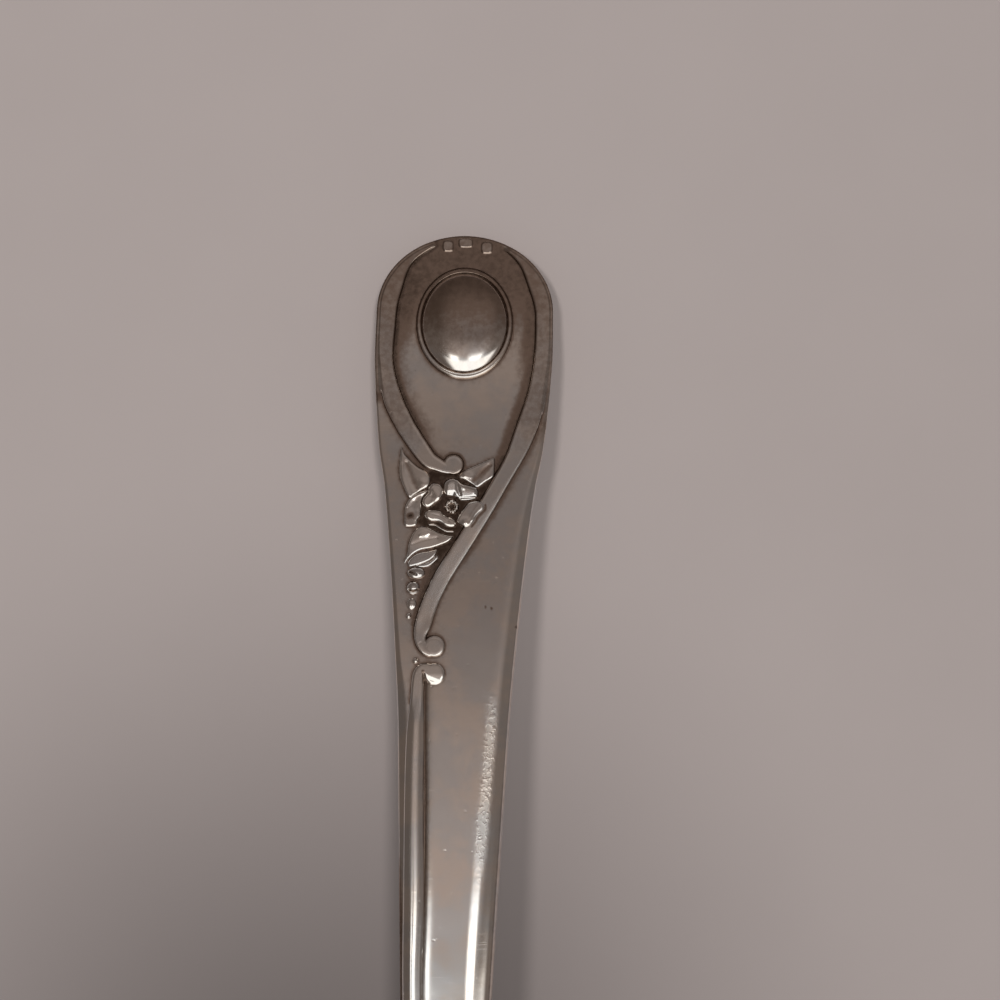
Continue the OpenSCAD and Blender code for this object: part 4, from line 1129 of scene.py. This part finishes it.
# %% Handle section
DROP_THICK, DROP_SINK = 0.5, 0.45
THICK_ROWS = [(UNDER_ROUND, TIP_THICK), (HANDLE_LENGTH / 2, 2.0), (NECK_AT, 3.0), (HANDLE_LENGTH, 3.3)]
heel_z, _ = outside_z(np.array(0.0), np.array(TIP_Y - DROP_END))
THICK_ROWS.append((DROP_END, float(face_z(DROP_END)) + DROP_THICK - float(heel_z)))
GROOVE_HALF, GROOVE_RISE, GROOVE_DEPTH = 0.17, 0.3, 0.1
GROOVE_OFF = np.array([(36, 0.1), (39, 0.1), (44, 0.2), (51.4, 0.03), (57.3, 0.0)])
FACE_COLUMNS, UNDER_COLUMNS = 110, 18
SHOULDER_TURNS = np.radians(np.linspace(0, 90, 11))[1:]
UNDER_TURNS = np.radians(np.linspace(0, 90, 7))

tip_turns, drop_turns = np.radians(np.linspace(0, 90, 44)), np.radians(np.linspace(0, 90, 14))
stations = np.concatenate([np.arange(TIP_ROUND, 37, 0.13)[1:], np.arange(37, HANDLE_LENGTH, 0.6),
                           HANDLE_LENGTH + (DROP_END - HANDLE_LENGTH) * np.sin(drop_turns)])
row_turn = np.concatenate([tip_turns, np.full(len(stations), math.pi / 2)])
row_v = np.concatenate([TIP_ROUND * (1 - np.cos(tip_turns)), stations])
print("handle rows", len(row_v))


def edge_place(inset):
    """Half width and distance from the tip of every row, drawn in from the edge."""
    tip = row_v <= TIP_ROUND
    half = np.where(tip, (TIP_HALF - inset) * np.sin(row_turn), half_width(row_v) - inset)
    along = np.where(tip, inset + (TIP_ROUND - inset) * (1 - np.cos(row_turn)), row_v)
    return half, along


def groove(u, v):
    """Depth of the groove that runs beside the reed."""
    middle, half = (np.interp(v, reed_middle[:, 1], reed_middle[:, k]) for k in (0, 2))
    off = u - middle - half - np.interp(v, GROOVE_OFF[:, 0], GROOVE_OFF[:, 1])
    fade = rises(v, 34.5, 0.5) * fades(v, 80, 10)
    side = np.where(off < 0, ridge(off, GROOVE_HALF), np.exp(-np.abs(off) / GROOVE_RISE))
    return GROOVE_DEPTH * fade * side


# %% Handle tube
wide = {side: shoulder(rows, row_v) for side, rows in ((1, RIGHT_ROWS), (-1, LEFT_ROWS))}
under_r = np.where(row_v > HANDLE_LENGTH, np.minimum(UNDER_ROUND, 0.8 * half_width(row_v)), UNDER_ROUND)
columns = []


def column(u, v, z):
    """Adds one column of the tube, from the tip to the drop."""
    columns.append(np.stack([u, TIP_Y - v, z], axis=1))


def side_columns(side):
    """Shoulder and lower edge of one side, from the face down to the underside."""
    made = []
    for turn in SHOULDER_TURNS:
        half, v = edge_place(wide[side] * (1 - np.sin(turn)))
        fall = SHOULDER_FALL * wide[side] * (1 - np.cos(turn))
        made.append((side * half, v, face_z(v) - fall + rim_rise(side * half, v)))
    for turn in UNDER_TURNS:
        half, v = edge_place(under_r * (1 - np.cos(turn)))
        made.append((side * half, v, face_z(v) - read(THICK_ROWS, v) + UNDER_ROUND * (1 - np.sin(turn))))
    return made


(left_u, left_v), (right_u, right_v) = edge_place(wide[-1]), edge_place(wide[1])
for f in np.linspace(0, 1, FACE_COLUMNS):
    u, v = -left_u * (1 - f) + right_u * f, left_v * (1 - f) + right_v * f
    column(u, v, face_z(v) - groove(u, v) + rim_rise(u, v))
for place in side_columns(1):
    column(*place)
half, v = edge_place(under_r)
for f in np.linspace(1, -1, UNDER_COLUMNS)[1:-1]:
    column(half * f, v, face_z(v) - read(THICK_ROWS, v))
for place in reversed(side_columns(-1)):
    column(*place)
columns.append(columns[0])
tube = np.stack(columns, axis=1)
under_bowl, share = outside_z(tube[..., 0], tube[..., 1])
tube[..., 2] = np.where(share < 1, np.minimum(tube[..., 2], under_bowl + DROP_SINK), tube[..., 2])
tube[..., 2] = np.maximum(tube[..., 2], 0)
print("tube", tube.shape[0], "rows of", tube.shape[1], "points")

# %% [markdown]
# ### Rolling the grid and staining it
# The grid's points go to their places on the tube, the seam is welded and the two ends are filled. Brown
# stays in the groove and in four small pits. A painted shade darkens the left edge of the lower handle and,
# more lightly, the sides and underside below the face. The right shoulder is bruised where the spoon has
# been handled and laid down.

# %% Handle piece
PITS, PIT_HALF = [(2.23, 29.4), (2.7, 29.5), (4.66, 30.9), (3.3, 37.85)], 0.09
WORN, WORN_HALF = np.array([(2.57, 31.9), (2.9, 37.2), (2.78, 40.2), (2.62, 43.2), (2.34, 46.8)]), 0.45
# Below the face the sides and underside carry a light painted shade that darkens what they mirror.
FACE_DEPTH, UNDER_PAINTED_SHADE, SEAM_WELD = 0.45, 0.2, 1e-7
bm = bmesh.new()
bmesh.ops.create_grid(bm, x_segments=tube.shape[1] - 1, y_segments=tube.shape[0] - 1, size=1.0)
for vert, point in zip(bm.verts, tube.reshape(-1, 3)):
    vert.co = point * MM
bmesh.ops.remove_doubles(bm, verts=bm.verts, dist=SEAM_WELD)
bmesh.ops.holes_fill(bm, edges=[edge for edge in bm.edges if edge.is_boundary], sides=0)
bmesh.ops.recalc_face_normals(bm, faces=bm.faces)


def handle_tarnish_and_shade(u, v, z):
    """Tarnish of the face by the relief on it, brown lines in the groove, pits, and painted shade at the left
    edge and below the face.
    """
    on_top = z > face_z(v) - FACE_DEPTH
    line = 0.75 * (1 - 0.6 * rises(v, 50, 7)) * (groove(u, v) / GROOVE_DEPTH) ** 2
    # Painted shade along the left edge of the lower handle darkens what the rounded edge mirrors.
    painted_left_edge_shade = ridge(half_width(v) + u - 0.08, 0.15) * rises(v, 45, 9) * fades(v, 62, 10)
    spots = np.max([ridge(np.hypot(u - a, v - b), PIT_HALF) for a, b in PITS], axis=0)
    marks = np.maximum.reduce([tarnish_and_shade_at(u, v, z), line, 0.8 * painted_left_edge_shade, 0.9 * spots])
    return np.where(on_top, marks, UNDER_PAINTED_SHADE)


handle = keep(bm, "spoon_handle", handle_look, "handle_silver", handle_tarnish_and_shade, "handle")

where = np.zeros(3 * len(handle.data.vertices))
handle.data.vertices.foreach_get("co", where)
x, y, z = where.reshape(-1, 3).T / MM
v = TIP_Y - y
worn = ridge(x - np.interp(v, WORN[:, 1], WORN[:, 0]), WORN_HALF) * rises(v, 35, 3) * fades(v, 46, 5)
handle.data.attributes.new("wear", "FLOAT", "POINT").data.foreach_set("value", worn.astype(np.float32))
print("worn points", int((worn > 0.3).sum()))
